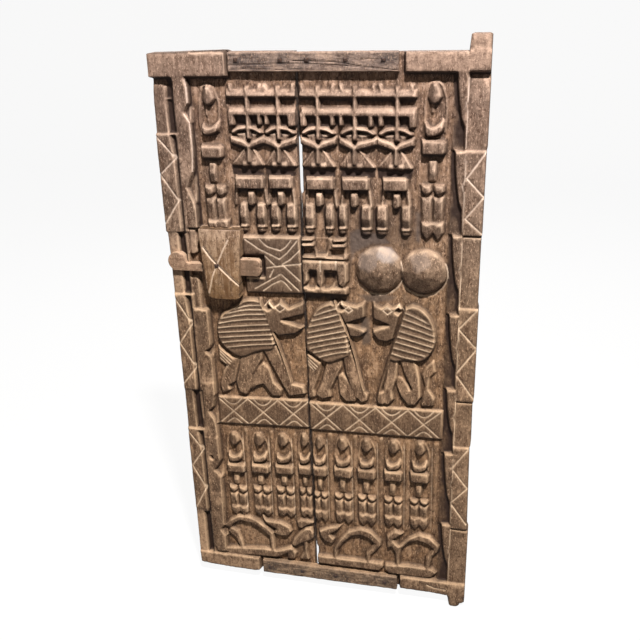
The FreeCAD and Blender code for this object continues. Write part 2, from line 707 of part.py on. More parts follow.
top_batten = batten("top_batten", TOP_BATTEN_START, TOP_BATTEN_FOOT, "top_batten_thickness", top_holes)
bottom_batten = batten(
    "bottom_batten", FOOT_BATTEN_START, FOOT_BATTEN_FOOT, "foot_batten_thickness", foot_holes)

# Lock case: a tapering block with a swelling face, a bolt channel open to the plank and three bores.
case_body = doc.addObject("PartDesign::Body", "case_body")
place(case_body, LEAF_LEFT + " + case_from_edge", "0", LEAF_TOP + " - case_drop - case_height")
CASE_TAPER = "( case_head_width - case_foot_width ) / 2"
CASE_OUTLINE = [
    ("0", "case_height"),
    ("case_head_width", "case_height"),
    (CASE_TAPER + " + case_foot_width", "case_foot_corner"),
    (CASE_TAPER + " + case_foot_width - case_foot_corner * 0.3", "case_foot_corner * 0.3"),
    (CASE_TAPER + " + case_foot_width - case_foot_corner", "0"),
    (CASE_TAPER + " + case_foot_corner", "0"),
    (CASE_TAPER + " + case_foot_corner * 0.3", "case_foot_corner * 0.3"),
    (CASE_TAPER, "case_foot_corner"),
]
pad_outline(case_body, "case_block", CASE_OUTLINE, GROUND, "case_depth")
swell = doc.addObject("Part::Cylinder", "case_swell")
bind(swell, Radius=cell("case_bulge_radius"), Height=cell("case_height"))
place(swell, CASE_MIDDLE, CASE_FACE + " + case_bulge_radius", LEAF_TOP + " - case_drop - case_height")
case_hewn = doc.addObject("Part::Common", "case_hewn")
case_hewn.Base = case_body
case_hewn.Tool = swell
channel = box(
    "bolt_channel", "case_head_width", "bolt_thickness + bolt_play * 2 + bolt_seat",
    "bolt_body_height + bolt_play * 2", LEAF_LEFT + " + case_from_edge", BOLT_FACE + " - bolt_play",
    BOLT_TOP + " - bolt_body_height - bolt_play")

PIN_PLACE_SHARES = (-1, 0, 1)
PLUG_FOOT = BOLT_TOP + " + pin_rest_gap + pin_length + pin_lift + pin_clearance * 2"
bores = []
plugs = []
pins = []
pin_holes = []
for number, place_share in enumerate(PIN_PLACE_SHARES, start=1):
    across = CASE_MIDDLE + " + pin_spacing * %s" % place_share
    bore = doc.addObject("Part::Cylinder", "pin_bore_%d" % number)
    bind(bore, Radius=cell("pin_radius + pin_clearance"), Height=cell("bolt_drop - case_drop"))
    place(bore, across, PIN_DEPTH, BOLT_TOP)
    bores.append(bore)
    plug = doc.addObject("Part::Cylinder", "bore_plug_%d" % number)
    bind(plug, Radius=cell("pin_radius + pin_clearance - hole_clearance"),
         Height=cell("bolt_drop - case_drop - pin_rest_gap - pin_length - pin_lift - pin_clearance * 2"))
    place(plug, across, PIN_DEPTH, PLUG_FOOT)
    plugs.append(plug)
    pin = doc.addObject("Part::Cylinder", "tumbler_pin_%d" % number)
    bind(pin, Radius=cell("pin_radius"), Height=cell("pin_length"))
    place(pin, across, PIN_DEPTH, BOLT_TOP + " + pin_rest_gap")
    pins.append(pin)
    hole = doc.addObject("Part::Cylinder", "pin_hole_%d" % number)
    bind(hole, Radius=cell("pin_radius + pin_clearance"), Height=cell("bolt_body_height / 2"))
    place(hole, across + " + bolt_throw", PIN_DEPTH, BOLT_TOP + " - bolt_body_height / 2")
    pin_holes.append(hole)
bore_plugs = doc.addObject("Part::Compound", "tumbler_bore_plugs")
bore_plugs.Links = plugs

# Spikes driven from the back of the plank into the case, two high and two low.
spikes = []
spike_holes = []
SPIKE_PLACES = [
    (" - case_head_width * 0.4", " - case_drop - case_height * 0.15"),
    (" + case_head_width * 0.4", " - case_drop - case_height * 0.15"),
    (" - case_foot_width * 0.3", " - case_drop - case_height * 0.85"),
    (" + case_foot_width * 0.3", " - case_drop - case_height * 0.85"),
]
for number, (aside, down) in enumerate(SPIKE_PLACES, start=1):
    across = CASE_MIDDLE + aside
    up = LEAF_TOP + down
    name = "spike_%d" % number
    through = "plank_thickness + spike_reach"
    body = shank(name + "_shank", "nail_side", through, across, GROUND + " - spike_reach", up)
    head = nail_head(name + "_head", across, BACK, up, 1)
    spikes.append(joined(name, [body, head]))
    spike_holes.append(shank(name + "_hole", "nail_side + hole_clearance * 2", through, across,
                             GROUND + " - spike_reach", up))
case_spikes = doc.addObject("Part::Compound", "lock_case_spikes")
case_spikes.Links = spikes

# Iron stud where the two lines scratched on the case cross.
STUD_ACROSS = CASE_MIDDLE + " - nail_head_radius * 2"
STUD_UP = LEAF_TOP + " - case_drop - case_height / 2"
stud_shank = shank("stud_shank", "nail_side", "stud_length", STUD_ACROSS, CASE_FACE, STUD_UP)
stud_head = nail_head("stud_head", STUD_ACROSS, CASE_FACE, STUD_UP, -1)
case_stud = joined("lock_case_stud", [stud_shank, stud_head])
stud_hole = shank(
    "stud_hole", "nail_side + hole_clearance * 2", "stud_length", STUD_ACROSS, CASE_FACE, STUD_UP)
lock_case = cut("lock_case", case_hewn, [channel, stud_hole] + bores + spike_holes)

# Bolt: a tall body with a narrower arm and a round knob, three pin holes and a key way in its end.
bolt_body = box(
    "bolt_body", "bolt_body_length", "bolt_thickness", "bolt_body_height",
    BOLT_RIGHT + " - bolt_body_length", BOLT_FACE, BOLT_TOP + " - bolt_body_height")
bolt_arm = box(
    "bolt_arm", "bolt_length - bolt_body_length / 2 - bolt_knob_radius / 2", "bolt_thickness",
    "bolt_arm_height", BOLT_LEFT + " + bolt_knob_radius / 2", BOLT_FACE,
    BOLT_TOP + " - bolt_body_height + bolt_arm_lift")
bolt_knob = doc.addObject("Part::Cylinder", "bolt_knob")
bind(bolt_knob, Radius=cell("bolt_knob_radius"), Height=cell("bolt_thickness"))
bolt_knob.Placement.Rotation = FreeCAD.Rotation(vector(1, 0, 0), 90)
place(bolt_knob, BOLT_LEFT + " + bolt_knob_radius", BOLT_BACK,
      BOLT_TOP + " - bolt_body_height + bolt_arm_lift + bolt_knob_radius")
doc.recompute()
bolt_edges = []
bolt_end = bolt_body.Shape.BoundBox.XMax
for number, edge in enumerate(bolt_body.Shape.Edges, start=1):
    along = edge.Vertexes[0].Point - edge.Vertexes[-1].Point
    if abs(along.y) > size["edge_tolerance"] and abs(edge.Vertexes[0].X - bolt_end) < size["edge_tolerance"]:
        bolt_edges.append((number, size["bolt_end_radius"], size["bolt_end_radius"]))
bolt_rounded = doc.addObject("Part::Fillet", "bolt_rounded")
bolt_rounded.Base = bolt_body
bolt_rounded.Edges = bolt_edges
bolt_solid = joined("bolt_solid", [bolt_rounded, bolt_arm, bolt_knob])
key_way = box(
    "key_way", "key_way_length", "key_way_width", "key_way_height", BOLT_RIGHT + " - key_way_length",
    PIN_DEPTH + " - key_way_width / 2", BOLT_TOP + " - bolt_body_height / 2 - key_way_height / 2")
lock_bolt = cut("lock_bolt", bolt_solid, pin_holes + [key_way])

# The planks: slab and border, relief trimmed to the plank, lugs, then the beds and the nail holes.
def trimmed(name, relief, outline):
    """Relief that ends at the edges of its own plank."""
    body = plank_body(name + "_outline")
    pad_outline(body, name + "_block", outline, BACK, "plank_thickness + boss_rise")
    common = doc.addObject("Part::Common", name)
    common.Base = relief
    common.Tool = body
    common.Refine = False
    return common


left_trim = trimmed("left_trim", left_carving, LEFT_SLAB)
right_trim = trimmed("right_trim", right_carving, RIGHT_SLAB)
TOP_BED_FOOT = TOP_BATTEN_FOOT + " - case_bed_clearance"
left_cuts = [case_bed, knob_way, end_way]
left_cuts += [batten_bed("left_top_bed", TOP_BED_FOOT), batten_bed("left_foot_bed", FOOT_BATTEN_FOOT)]
right_cuts = [batten_bed("right_top_bed", TOP_BED_FOOT), batten_bed("right_foot_bed", FOOT_BATTEN_FOOT)]
left_count = len(TOP_NAIL_SHARES[0])
left_holes = top_holes[:left_count] + foot_holes[:left_count]
right_holes = top_holes[left_count:] + foot_holes[left_count:]
left_hewn = joined("left_hewn", [left_body, left_trim])
left_plank = cut("left_plank", left_hewn, left_cuts + left_holes + spike_holes)
right_hewn = joined("right_hewn", [right_body, right_trim, lower_lug, upper_lug])
right_plank = cut("right_plank", right_hewn, right_cuts + right_holes)

NODES = [left_plank, right_plank, top_batten, bottom_batten, top_nails, foot_nails, lock_case, case_spikes,
         case_stud, lock_bolt, bore_plugs] + pins
doc.recompute()
for thing in doc.Objects:
    assert "Invalid" not in thing.State and "Error" not in thing.State, thing.Label
for node in NODES:
    shape = node.Shape
    assert not shape.isNull() and shape.isValid() and shape.Solids, node.Label
    shape.exportStep("parts/%s.step" % node.Label)
    print(node.Label, "solids", len(shape.Solids), "volume", round(shape.Volume))
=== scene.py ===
import math

import bpy
import numpy as np
from mathutils import Matrix


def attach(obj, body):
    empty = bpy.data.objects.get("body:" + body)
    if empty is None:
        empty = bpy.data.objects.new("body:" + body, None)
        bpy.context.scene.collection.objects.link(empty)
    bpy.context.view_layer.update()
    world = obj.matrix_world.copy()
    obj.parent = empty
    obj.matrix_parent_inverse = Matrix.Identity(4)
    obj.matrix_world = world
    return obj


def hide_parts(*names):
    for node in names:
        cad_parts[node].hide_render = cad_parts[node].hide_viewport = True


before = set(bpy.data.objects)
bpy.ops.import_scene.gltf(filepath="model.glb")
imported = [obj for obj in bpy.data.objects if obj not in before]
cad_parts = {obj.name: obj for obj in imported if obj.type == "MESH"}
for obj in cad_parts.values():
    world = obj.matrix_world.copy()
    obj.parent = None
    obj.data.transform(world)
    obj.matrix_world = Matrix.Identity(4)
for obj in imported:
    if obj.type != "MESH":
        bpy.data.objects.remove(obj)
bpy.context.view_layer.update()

# Left plank: the wider half of the leaf, hewn from one slab of hardwood with an adze and carved with
# knife and gouge in low relief. A raised border of head, outer strip, inner strip and foot runs round
# its outer side, and the carved field lies inside it on a sunk ground.

EYE = (809.7, -151.5, 1780.9)           # the eye: mm right of the leaf's left edge, below its top edge, and out from it
GROUND, FACE = 2, 18.0                  # mm from the frame's plane to the sunk ground, and on from there to the border
PIVOT_X, HEAD_Z = 726.5, 1421           # mm from the left edge to the pivots' line, and from the floor to the top edge
LEAF_HEIGHT, SEAM_X = 1388.0, 341       # mm down to the leaf's foot, and across to the seam between the planks
HEAD_REACH, FOOT_REACH = 42, 46         # mm in which the rows of the net turn to follow the uneven head and foot
NET_STEP = 1.3   # mm between the points of the carved net
BACK_STEP = 4                           # points of the front for each point of the adzed back
SIDE_SLOPE = 1.5                        # mm over which the sides of a carved form fall to the ground


def seen(points, rise):
    """Moves places read on the border's face along the line of sight, to their own height over the ground."""
    away = (EYE[2] + FACE - rise) / EYE[2]
    return [(EYE[0] - (EYE[0] - x) * away, (y - EYE[1]) * away + EYE[1]) for x, y in points]


def box(left, top, right, foot):
    """The outline of an upright rectangle."""
    return [(left, top), (right, top), (right, foot), (left, foot)]


def eased(points, closed):
    """Takes the corners off a given line, as a knife does."""
    ring = points + points[:1] if closed else points
    cut = []
    for (ax, ay), (bx, by) in zip(ring, ring[1:]):
        cut += [(ax * 0.75 + bx * 0.25, ay * 0.75 + by * 0.25), (ax * 0.25 + bx * 0.75, ay * 0.25 + by * 0.75)]
    return cut if closed else points[:1] + cut + points[-1:]


def line_distance(x, y, points):
    """How many mm each point lies from an open line."""
    nearest = np.full(x.shape, 1e9)
    for (ax, ay), (bx, by) in zip(points, points[1:]):
        ex, ey = bx - ax, by - ay
        along = np.clip(((x - ax) * ex + (y - ay) * ey) / (ex * ex + ey * ey + 1e-9), 0, 1)
        nearest = np.minimum(nearest, np.hypot(x - ax - along * ex, y - ay - along * ey))
    return nearest


def inside_distance(x, y, outline):
    """How many mm each point lies inside a closed outline, negative outside it."""
    nearest = line_distance(x, y, outline + outline[:1])
    inside = np.zeros(x.shape, bool)
    for (ax, ay), (bx, by) in zip(outline, outline[1:] + outline[:1]):
        if ay != by:
            inside ^= ((ay > y) != (by > y)) & (x < (bx - ax) * (y - ay) / (by - ay) + ax)
    return np.where(inside, nearest, -nearest)


def soften(field, cells):
    """Averages a net of values over about that many points each way."""
    for axis in (0, 1, 0, 1):
        padded = np.pad(field, [(cells + 1, cells) if k == axis else (0, 0) for k in (0, 1)], mode="edge")
        total = np.cumsum(padded, axis=axis)
        count = np.arange(field.shape[axis])
        field = (np.take(total, count + 2 * cells + 1, axis) - np.take(total, count, axis)) / (2 * cells + 1)
    return field


class Plank:
    """The carved front of a plank: a net of points, with x and y in mm on the leaf (y down) and h in mm over the
    ground, and with the shares of knife scores, stain, bare wood, painted shadow, and handled shine with painted
    sheen at each point."""

    def __init__(self, left, right, top, foot):
        width = right[0][1] - left[0][1]
        level = np.linspace(0, LEAF_HEIGHT, BACK_STEP * round(LEAF_HEIGHT / NET_STEP / BACK_STEP) + 1)[:, None]
        across = np.linspace(0, 1, BACK_STEP * round(width / NET_STEP / BACK_STEP) + 1)[None, :]
        near, far = [np.interp(level, *zip(*side)) for side in (left, right)]
        self.x = near + across * (far - near)
        upper = np.interp(self.x, *zip(*top))
        lower = np.interp(self.x, *zip(*foot)) - LEAF_HEIGHT
        at_foot = (level - (LEAF_HEIGHT - FOOT_REACH)) / FOOT_REACH
        self.y = level + np.clip(1 - level / HEAD_REACH, 0, 1) * upper + np.clip(at_foot, 0, 1) * lower
        self.h = np.zeros(self.x.shape)
        self.scored, self.stained, self.bare, self.dirt, self.polish_and_sheen = (np.zeros(self.x.shape) for _ in range(5))

    def near(self, points, reach):
        """The part of the net round some points."""
        xs, ys = zip(*points)
        rows = np.flatnonzero((self.y.max(1) > min(ys) - reach) & (self.y.min(1) < max(ys) + reach))
        cols = np.flatnonzero((self.x.max(0) > min(xs) - reach) & (self.x.min(0) < max(xs) + reach))
        if not len(rows) or not len(cols):
            return slice(0), slice(0)
        return slice(rows[0], rows[-1] + 1), slice(cols[0], cols[-1] + 1)

    def carve(self, outline, rise, rim=None, bevel=1.6, down=None, over=None, curved=False):
        """Leaves a form standing: rise at its middle and rim at its edge. Its facets are given down it as
        (y, height) and over it as (x, height)."""
        rim = rise - 1.6 if rim is None else rim
        outline = seen(eased(outline, True) if curved else outline, rise)
        part = self.near(outline, 4)
        x, y = self.x[part], self.y[part]
        depth = inside_distance(x, y, outline)
        top = rim + (rise - rim) * np.sqrt(1 - (1 - np.clip(depth / bevel, 0, 1)) ** 2)
        if down:
            places = seen([(0, place) for place, _ in down], rise)
            top = np.minimum(top, np.interp(y, [p[1] for p in places], [height for _, height in down]))
        if over:
            places = seen([(place, 0) for place, _ in over], rise)
            top = np.minimum(top, np.interp(x, [p[0] for p in places], [height for _, height in over]))
        share = np.clip(depth / SIDE_SLOPE + 0.5, 0, 1)
        form = top * share * share * (3 - 2 * share)
        # painted shadow is wiped where a form stands up over it
        self.dirt[part] *= 1 - np.clip((form - self.h[part]) / 3, 0, 1)
        self.h[part] = np.maximum(self.h[part], form)

    def sink(self, outline, floor, wall=2.0):
        """Cuts a hollow down to a floor height."""
        outline = seen(outline, floor)
        part = self.near(outline, 4)
        depth = inside_distance(self.x[part], self.y[part], outline)
        share = np.clip(depth / wall + 0.5, 0, 1)
        hollow = np.minimum(self.h[part], self.h[part] * (1 - share) + floor * share)
        self.h[part] = np.where(share > 0, hollow, self.h[part])

    def groove(self, lines, width, depth, level, fresh=True, curved=False):
        """Cuts V grooves along lines that lie at a level; crossing grooves don't deepen one another."""
        lines = [seen(eased(line, False) if curved else line, level) for line in lines]
        part = self.near([p for line in lines for p in line], width)
        x, y = self.x[part], self.y[part]
        away = np.full(x.shape, 1e9)
        for line in lines:
            away = np.minimum(away, line_distance(x, y, line))
        self.h[part] -= depth * np.clip(1 - away / (width / 2), 0, 1)
        if fresh:
            self.scored[part] = np.maximum(self.scored[part], fresh * np.clip(1.7 - away / (width * 0.27), 0, 1))

    def welt(self, line, width, rise):
        """Leaves a narrow rounded ridge standing along a line."""
        line = seen(eased(line, False), rise)
        part = self.near(line, width)
        away = np.clip(line_distance(self.x[part], self.y[part], line) / (width / 2), 0, 1)
        self.h[part] = np.maximum(self.h[part], rise * np.sqrt(1 - away ** 2))

    def smudge(self, outline, amount, soft, layer="stained", level=4.0):
        """Stains or bares a place, or lays painted shadow on it, without touching its shape."""
        outline = seen(outline, level)
        part = self.near(outline, soft)
        depth = inside_distance(self.x[part], self.y[part], outline)
        getattr(self, layer)[part] += amount * np.clip(depth / soft + 0.5, 0, 1)


def unevenness(x, y, size_x, size_y, seed):
    """Smooth seeded swellings between -1 and 1, of that size in mm."""
    lumps = np.random.default_rng(seed).uniform(-1, 1, (int(1600 / size_y) + 4, int(960 / size_x) + 4))
    ax, ay = (x + 80) / size_x, (y + 80) / size_y
    ix, iy = np.floor(ax).astype(int), np.floor(ay).astype(int)
    tx, ty = ax - ix, ay - iy
    tx, ty = tx * tx * (3 - 2 * tx), ty * ty * (3 - 2 * ty)
    upper = lumps[iy, ix] * (1 - tx) + lumps[iy, ix + 1] * tx
    lower = lumps[iy + 1, ix] * (1 - tx) + lumps[iy + 1, ix + 1] * tx
    return upper * (1 - ty) + lower * ty


def standing_figure(plank, centre, half, stations, rise=15.0):
    """A standing figure cut in facets: head, neck, cupped shoulders, block, body, hips, thighs and feet, with its
    stations at its own heights on the leaf."""
    head, chin, cup, waist, block, under, body, seat, hips, knees, feet, tips = stations
    c, s = centre, half / 26

    def at(points):
        return [(c + px * s, py) for px, py in points]

    tall = chin - head
    face = at([(-12, head + tall * .3), (-5, head), (5, head), (12, head + tall * .32), (15, head + tall * .64),
               (8, chin - 4), (-2, chin), (-10, chin - 4), (-15, head + tall * .68)])
    plank.carve(face, rise, rim=7, bevel=5, over=[(c - 16 * s, 4), (c - 2 * s, rise), (c + 16 * s, rise - 5)])
    plank.smudge(face, 0.35, 3, level=rise)
    plank.welt(at([(-20, waist), (-21, chin), (-14, head + 4), (-4, head - 4), (12, head - 3), (22, head + tall * .5),
                   (26, chin - 2), (23, waist - 8)]), 4, 5)
    plank.carve(at(box(-7, chin - 6, -1, cup + 6)), 6)
    low = waist - cup
    plank.carve(at([(-20, cup + low * .2), (-10, cup + low * .5), (0, cup + low * .55), (12, cup + low * .3),
                    (20, cup + 2), (20, waist - low * .3), (10, waist - 3), (-4, waist), (-19, waist)]),
                rise, rim=rise - 2, down=[(cup, 3), (cup + low * .5, rise), (waist, rise)], curved=True)
    plank.sink(at([(-7, cup - 8), (-1, cup - 8), (0, cup + 5), (-4, cup + 8), (-8, cup + 5)]), 0.5, wall=3)
    plank.carve(at([(-26, block), (20, block), (26, block + 5), (25, under - 3), (20, under), (-25, under)]), rise + 1,
                rim=rise - 0.5)
    # painted shadow under the block
    plank.smudge(at([(-25, under + 1), (24, under + 1), (20, under + 9), (-25, under + 8)]), 0.5, 5, "dirt")
    plank.carve(at([(-9, body), (7, body), (7, seat), (-10, seat)]), rise - 3, rim=6,
                down=[(body - 2, 4), ((body + seat) / 2, rise - 3), (seat + 2, 4)])
    high, drop = seat + 6, hips - seat
    for side, leg in ((-25, -23), (3, 3)):
        plank.carve(at([(side, high), (side + 21, high), (side + 23, hips - drop * .35), (side + 12, hips + 4),
                        (side, hips - drop * .35)]), rise, rim=rise - 3,
                    down=[(high - 1, 3), (high + 4, rise - 1), (hips - drop * .3, rise), (hips + 5, 4)],
                    over=[(c + side * s, rise - 5), (c + (side + 13) * s, rise), (c + (side + 24) * s, rise - 3)])
        plank.carve(at([(leg - 1, hips + 4), (leg + 10, hips - 2), (leg + 22, hips + 2), (leg + 21, knees),
                        (leg, knees)]), rise - 2, rim=5,
                    down=[(hips, 4), (hips + 12, rise - 2), (knees, 5)],
                    over=[(c + leg * s, rise - 6), (c + (leg + 13) * s, rise - 2), (c + (leg + 21) * s, rise - 5)])
    # painted shadow under the hips
    plank.smudge(at([(-26, hips + 1), (27, hips + 1), (26, hips + 9), (-24, hips + 9)]), 0.45, 3, "dirt")
    plank.carve(at([(-24, knees - 1), (-12, knees - 3), (1, knees - 1), (13, knees - 4), (26, knees - 2), (26, feet),
                    (14, tips), (3, feet), (-10, tips), (-23, feet)]), rise, rim=rise - 3,
                down=[(knees - 4, 3), (knees + 5, rise), (tips, 6)],
                over=[(c - 24 * s, rise - 4), (c - 11 * s, rise), (c + 1 * s, rise - 5), (c + 14 * s, rise),
                      (c + 26 * s, rise - 4)])


def masked_pole(plank, centre, left, right):
    """One of the row of masked poles: a post through two bars, a pair of wings with a slit between them, and a
    pleated skirt with a foot."""
    plank.carve([(centre - 4, 72), (centre + 4, 72), (centre + 5, 110), (centre + 5, 186), (centre - 5, 186),
                 (centre - 5, 110)], 15, rim=12)
    for tip, way in ((left, 1), (right, -1)):
        def from_tip(mm):
            return tip + way * mm

        def from_post(mm):
            return centre - way * mm

        plank.carve([(from_tip(10), 172), (from_post(5), 170), (from_post(5), 192), (from_post(14), 188)], 6, rim=5)
        # painted shade in the slit between the wings
        plank.smudge([(from_tip(8), 175), (from_post(16), 167), (from_post(6), 165), (from_post(5), 178),
                      (from_post(14), 179)], 0.95, 2, "dirt")
        plank.carve([(tip, 173), (from_tip(4), 166), (from_tip(18), 158), (from_post(4), 155), (from_post(4), 165),
                     (from_tip(20), 168), (from_tip(9), 174)], 13, rim=8, bevel=4)
        plank.carve([(from_tip(-1.5), 177), (from_tip(9), 181), (from_post(14), 187), (from_post(3), 192),
                     (centre, 206), (from_post(9), 206), (from_tip(13), 200), (from_tip(-1.5), 195)], 13, rim=8,
                    bevel=5)
        # painted shadow under the lower wing
        plank.smudge([(tip, 190), (from_post(8), 200), (from_post(8), 209), (tip, 201)], 0.6, 2.5, "dirt", 8)
        plank.carve([(from_tip(1), 66), (from_tip(8), 66), (from_tip(13), 80), (from_tip(14), 88), (tip, 88)], 10,
                    rim=4, bevel=5)
        plank.carve([(tip, 246), (from_post(7), 200), (centre, 200), (centre, 246)], 10, rim=9,
                    down=[(200, 3), (243, 10)],
                    over=[(min(tip, centre), 5 + 4 * (way < 0)), ((tip + centre) / 2, 8), (max(tip, centre), 10)])
        plank.welt([(from_post(7), 203), (from_tip(2), 242)], 3.4, 10.5)
    post = [(centre - 6, 196), (centre + 4, 196), (centre + 2, 240), (centre - 8, 240)]
    plank.carve(post, 15, rim=11, bevel=4)
    plank.smudge(post, 0.6, 2, level=15)
    # painted shadow in a band under the skirts
    plank.smudge([(left, 244), (right, 244), (right - 2, 264), (left + 2, 264)], 1.4, 2.5, "dirt", 1)
    for a, b in ((-20, -4), (2, 19)):
        plank.carve([(centre + a, 243), (centre + a + 3, 236), (centre + b - 2, 235), (centre + b, 243),
                     (centre + b - 3, 249), (centre + a + 2, 249)], 15, rim=9, bevel=6)
    plank.smudge(box(centre - 20, 234, centre + 20, 250), 0.7, 4, level=13)


def masked_bars(plank, left, right, ends):
    """The two bars through a row of masked poles, the upper one plain and the lower one with its ends turned down."""
    plank.carve([(left, 77), (right, 77), (right + 1, 95), (left + 1, 95)], 15, rim=14,
                down=[(77, 5), (87, 14), (90, 15), (96, 11)])
    plank.carve([(left + 4, 117), (right, 115), (right, 134), (left + 4, 134)], 15, rim=14,
                down=[(116, 6), (124, 15), (134, 15)])
    # painted shadow under the upper bar and in the boxes under the lower bar
    plank.smudge(box(left + 2, 94, right - 2, 106), 0.7, 4, "dirt")
    plank.smudge(box(left + 6, 134, right - 2, 153), 0.95, 5, "dirt")
    for a, b, foot in ends:
        plank.carve([(a - 1, 127), (b + 2, 127), (b + 1, foot - 2), (a, foot)], 15, rim=12, bevel=3)


def table(plank, left, right, centre, top, legs):
    """A carved stool: a block, a pointed peg under it, splayed legs and two turned posts with a ring near the foot."""
    # painted shadow under the block
    plank.smudge([(left - 2, top + 32), (right + 2, top + 31), (right + 2, top + 42), (left - 2, top + 43)], 0.75, 6,
                 "dirt")
    plank.carve([(left - 1, top + 3), (right - 3, top + 1), (right + 2, top + 6), (right + 1, top + 30),
                 (right - 3, top + 32), (left, top + 33)], 17, rim=15.5,
                down=[(top + 1, 11), (top + 6, 16.5), (top + 34, 17)])
    plank.carve([(centre - 8, top + 38), (centre + 8, top + 37), (centre + 8, top + 66), (centre + 4, top + 72),
                 (centre - 6, top + 72), (centre - 9, top + 66)], 15, rim=12, bevel=4,
                down=[(top + 34, 8), (top + 44, 15), (top + 72, 13)])
    # painted shadow under the peg
    plank.smudge([(centre - 9, top + 72), (centre + 8, top + 72), (centre + 3, top + 86), (centre - 5, top + 86)], 0.7,
                 5, "dirt")
    plank.carve([(right - 3, top + 14), (right + 3, top + 12), (right + 11, top + 66), (right + 7, top + 80),
                 (right + 1, top + 62)], 11, rim=5, bevel=5, over=[(right - 4, 4), (right + 11, 11)])
    plank.carve([(left + 1, top + 30), (left + 6, top + 32), (left + 1, top + 70), (left - 5, top + 74)], 9, rim=5)
    for a, b in legs:
        middle = (a + b) / 2
        # painted shadow left of each post
        plank.smudge([(a - 4, top + 74), (a + 1, top + 70), (a + 2, top + 120), (a - 4, top + 120)], 0.6, 4, "dirt")
        plank.carve([(a + 1, top + 68), (middle, top + 65), (b - 1, top + 67), (b + 1, top + 94), (b, top + 117),
                     (a + 1, top + 118), (a - 1, top + 94)], 16, rim=9, bevel=6,
                    down=[(top + 64, 9), (top + 96, 16), (top + 117, 8)])
        # painted shade on the lower half of each post
        plank.smudge([(a, top + 99), (b, top + 98), (b - 1, top + 116), (a + 1, top + 117)], 0.45, 5, "dirt")
        plank.carve([(a, top + 117), (b, top + 116), (b + 1, top + 123), (a - 1, top + 124)], 13, rim=9, bevel=4)
        plank.carve([(a + 1, top + 121), (b, top + 120), (b - 2, top + 132), (middle, top + 135), (a + 2, top + 132)],
                    9, rim=5, bevel=4)
        # painted shadow under each ring
        plank.smudge([(a, top + 125), (b, top + 125), (b - 2, top + 137), (a + 2, top + 137)], 0.6, 4, "dirt")


def striped_beast(plank, body, stripes, mane, head, ear, eye, mouth, limbs, tail, rise=13.0):
    """A beast in profile: a body cut in stripes, a ridge for its mane, a head with cut ear, eye and mouth, bent
    legs and a tail."""
    for limb, top, lean in limbs:
        plank.carve(limb, top, rim=top - 3, bevel=4, down=lean)
    if tail:
        plank.carve(tail, 8, rim=6)
    plank.carve(body, rise, rim=rise - 4, bevel=4, curved=True)
    plank.carve(head, rise, rim=rise - 2.5, bevel=3)
    plank.smudge(body, 0.7, 4, level=rise)
    plank.smudge(head, 0.55, 4, level=rise)
    plank.groove(stripes, 11, 2.2, rise, fresh=False, curved=True)
    # pale lines between the stripes, with no depth cut: painted highlight on the lit top of each band
    between = [[((ax + bx) / 2, (ay + by) / 2) for (ax, ay), (bx, by) in zip(upper, lower)]
               for upper, lower in zip(stripes, stripes[1:])]
    plank.groove(between, 4.2, 0, rise, curved=True)
    plank.welt(mane, 5, rise + 2)
    plank.sink(mouth, 1)
    ex, ey = ear
    plank.sink([(ex - 8, ey), (ex, ey - 9), (ex + 8, ey + 1), (ex, ey + 6)], 1, wall=4)
    plank.groove([[(ex - 12, ey + 2), (ex - 1, ey - 12), (ex + 11, ey + 3)]], 3.5, 1.5, rise)
    ex, ey, er = eye
    plank.groove([[(ex - er, ey), (ex, ey - er * .8), (ex + er, ey), (ex, ey + er * .8), (ex - er, ey)]], 4, 2.5, rise)
    plank.carve([(ex - 4, ey), (ex, ey - 4), (ex + 4, ey), (ex, ey + 4)], rise, rim=6)


def diamond_band(plank, left, right, top, slope, centres, half):
    """A raised band of crossing diamonds with nested arcs above and below."""
    def tilt(x, y):
        return (x, y + slope * (x - left))

    foot = top + 80
    band = [tilt(left, top), tilt(right, top), tilt(right, foot), tilt(left, foot)]
    plank.carve(band, 7, rim=6)
    lines = []
    for c in centres:
        lines.append([tilt(c - half, top + 4), tilt(c + half, foot - 2)])
        lines.append([tilt(c - half, foot - 2), tilt(c + half, top + 4)])
    plank.smudge(band, 0.38, 4)
    plank.groove(lines, 4.5, 2.2, 7)
    arcs = []
    for c in centres:
        arcs.append([tilt(c - half * .62, top + 4), tilt(c - half * .3, top + 18), tilt(c, top + 22),
                     tilt(c + half * .3, top + 17), tilt(c + half * .58, top + 4)])
        arcs.append([tilt(c - half * .5, foot - 3), tilt(c - half * .1, foot - 18), tilt(c + half * .15, foot - 18),
                     tilt(c + half * .55, foot - 3)])
    plank.groove([[p for p in arc if left < p[0] < right] for arc in arcs], 4, 1.8, 7, curved=True)


left_plank = Plank(
    left=[(0, -3), (50, -3), (55, 1.5), (174, 1.5), (178, 0.5), (408, 1.5), (412, 5), (566, 5.5), (570, 7.5), (830, 8),
          (945, 6.5), (950, 7), (1343, 8), (1388, 9)],
    right=[(0, 332.2), (180, 332.2), (184, 330.4), (305, 330.4), (310, 332.2), (550, 332.5), (560, 334.2), (930, 336),
           (1200, 340.3), (1290, 340.3), (1294, 339.6), (1342, 339.6), (1388, 341)],
    top=[(-3, 2), (0, 0), (60, -1), (100, -3), (170, -5), (180, -5), (184, -1), (341, -1)],
    foot=[(8, 1383), (30, 1386), (60, 1388), (110, 1390), (170, 1390), (181, 1387), (184, 1388), (341, 1388)])

# border of the left plank: head, outer strip with its zigzags, inner strip with its notches, and foot
left_plank.carve([(-20, -40), (179, -40), (180, 51), (80, 52), (-20, 53)], FACE, rim=17)
left_plank.carve(box(-20, 48, 56, 104), 12, rim=12, down=[(48, 3), (62, 3.5), (86, 9.5), (104, 10.6)])
left_plank.sink(box(39, 52, 52, 104), 1)
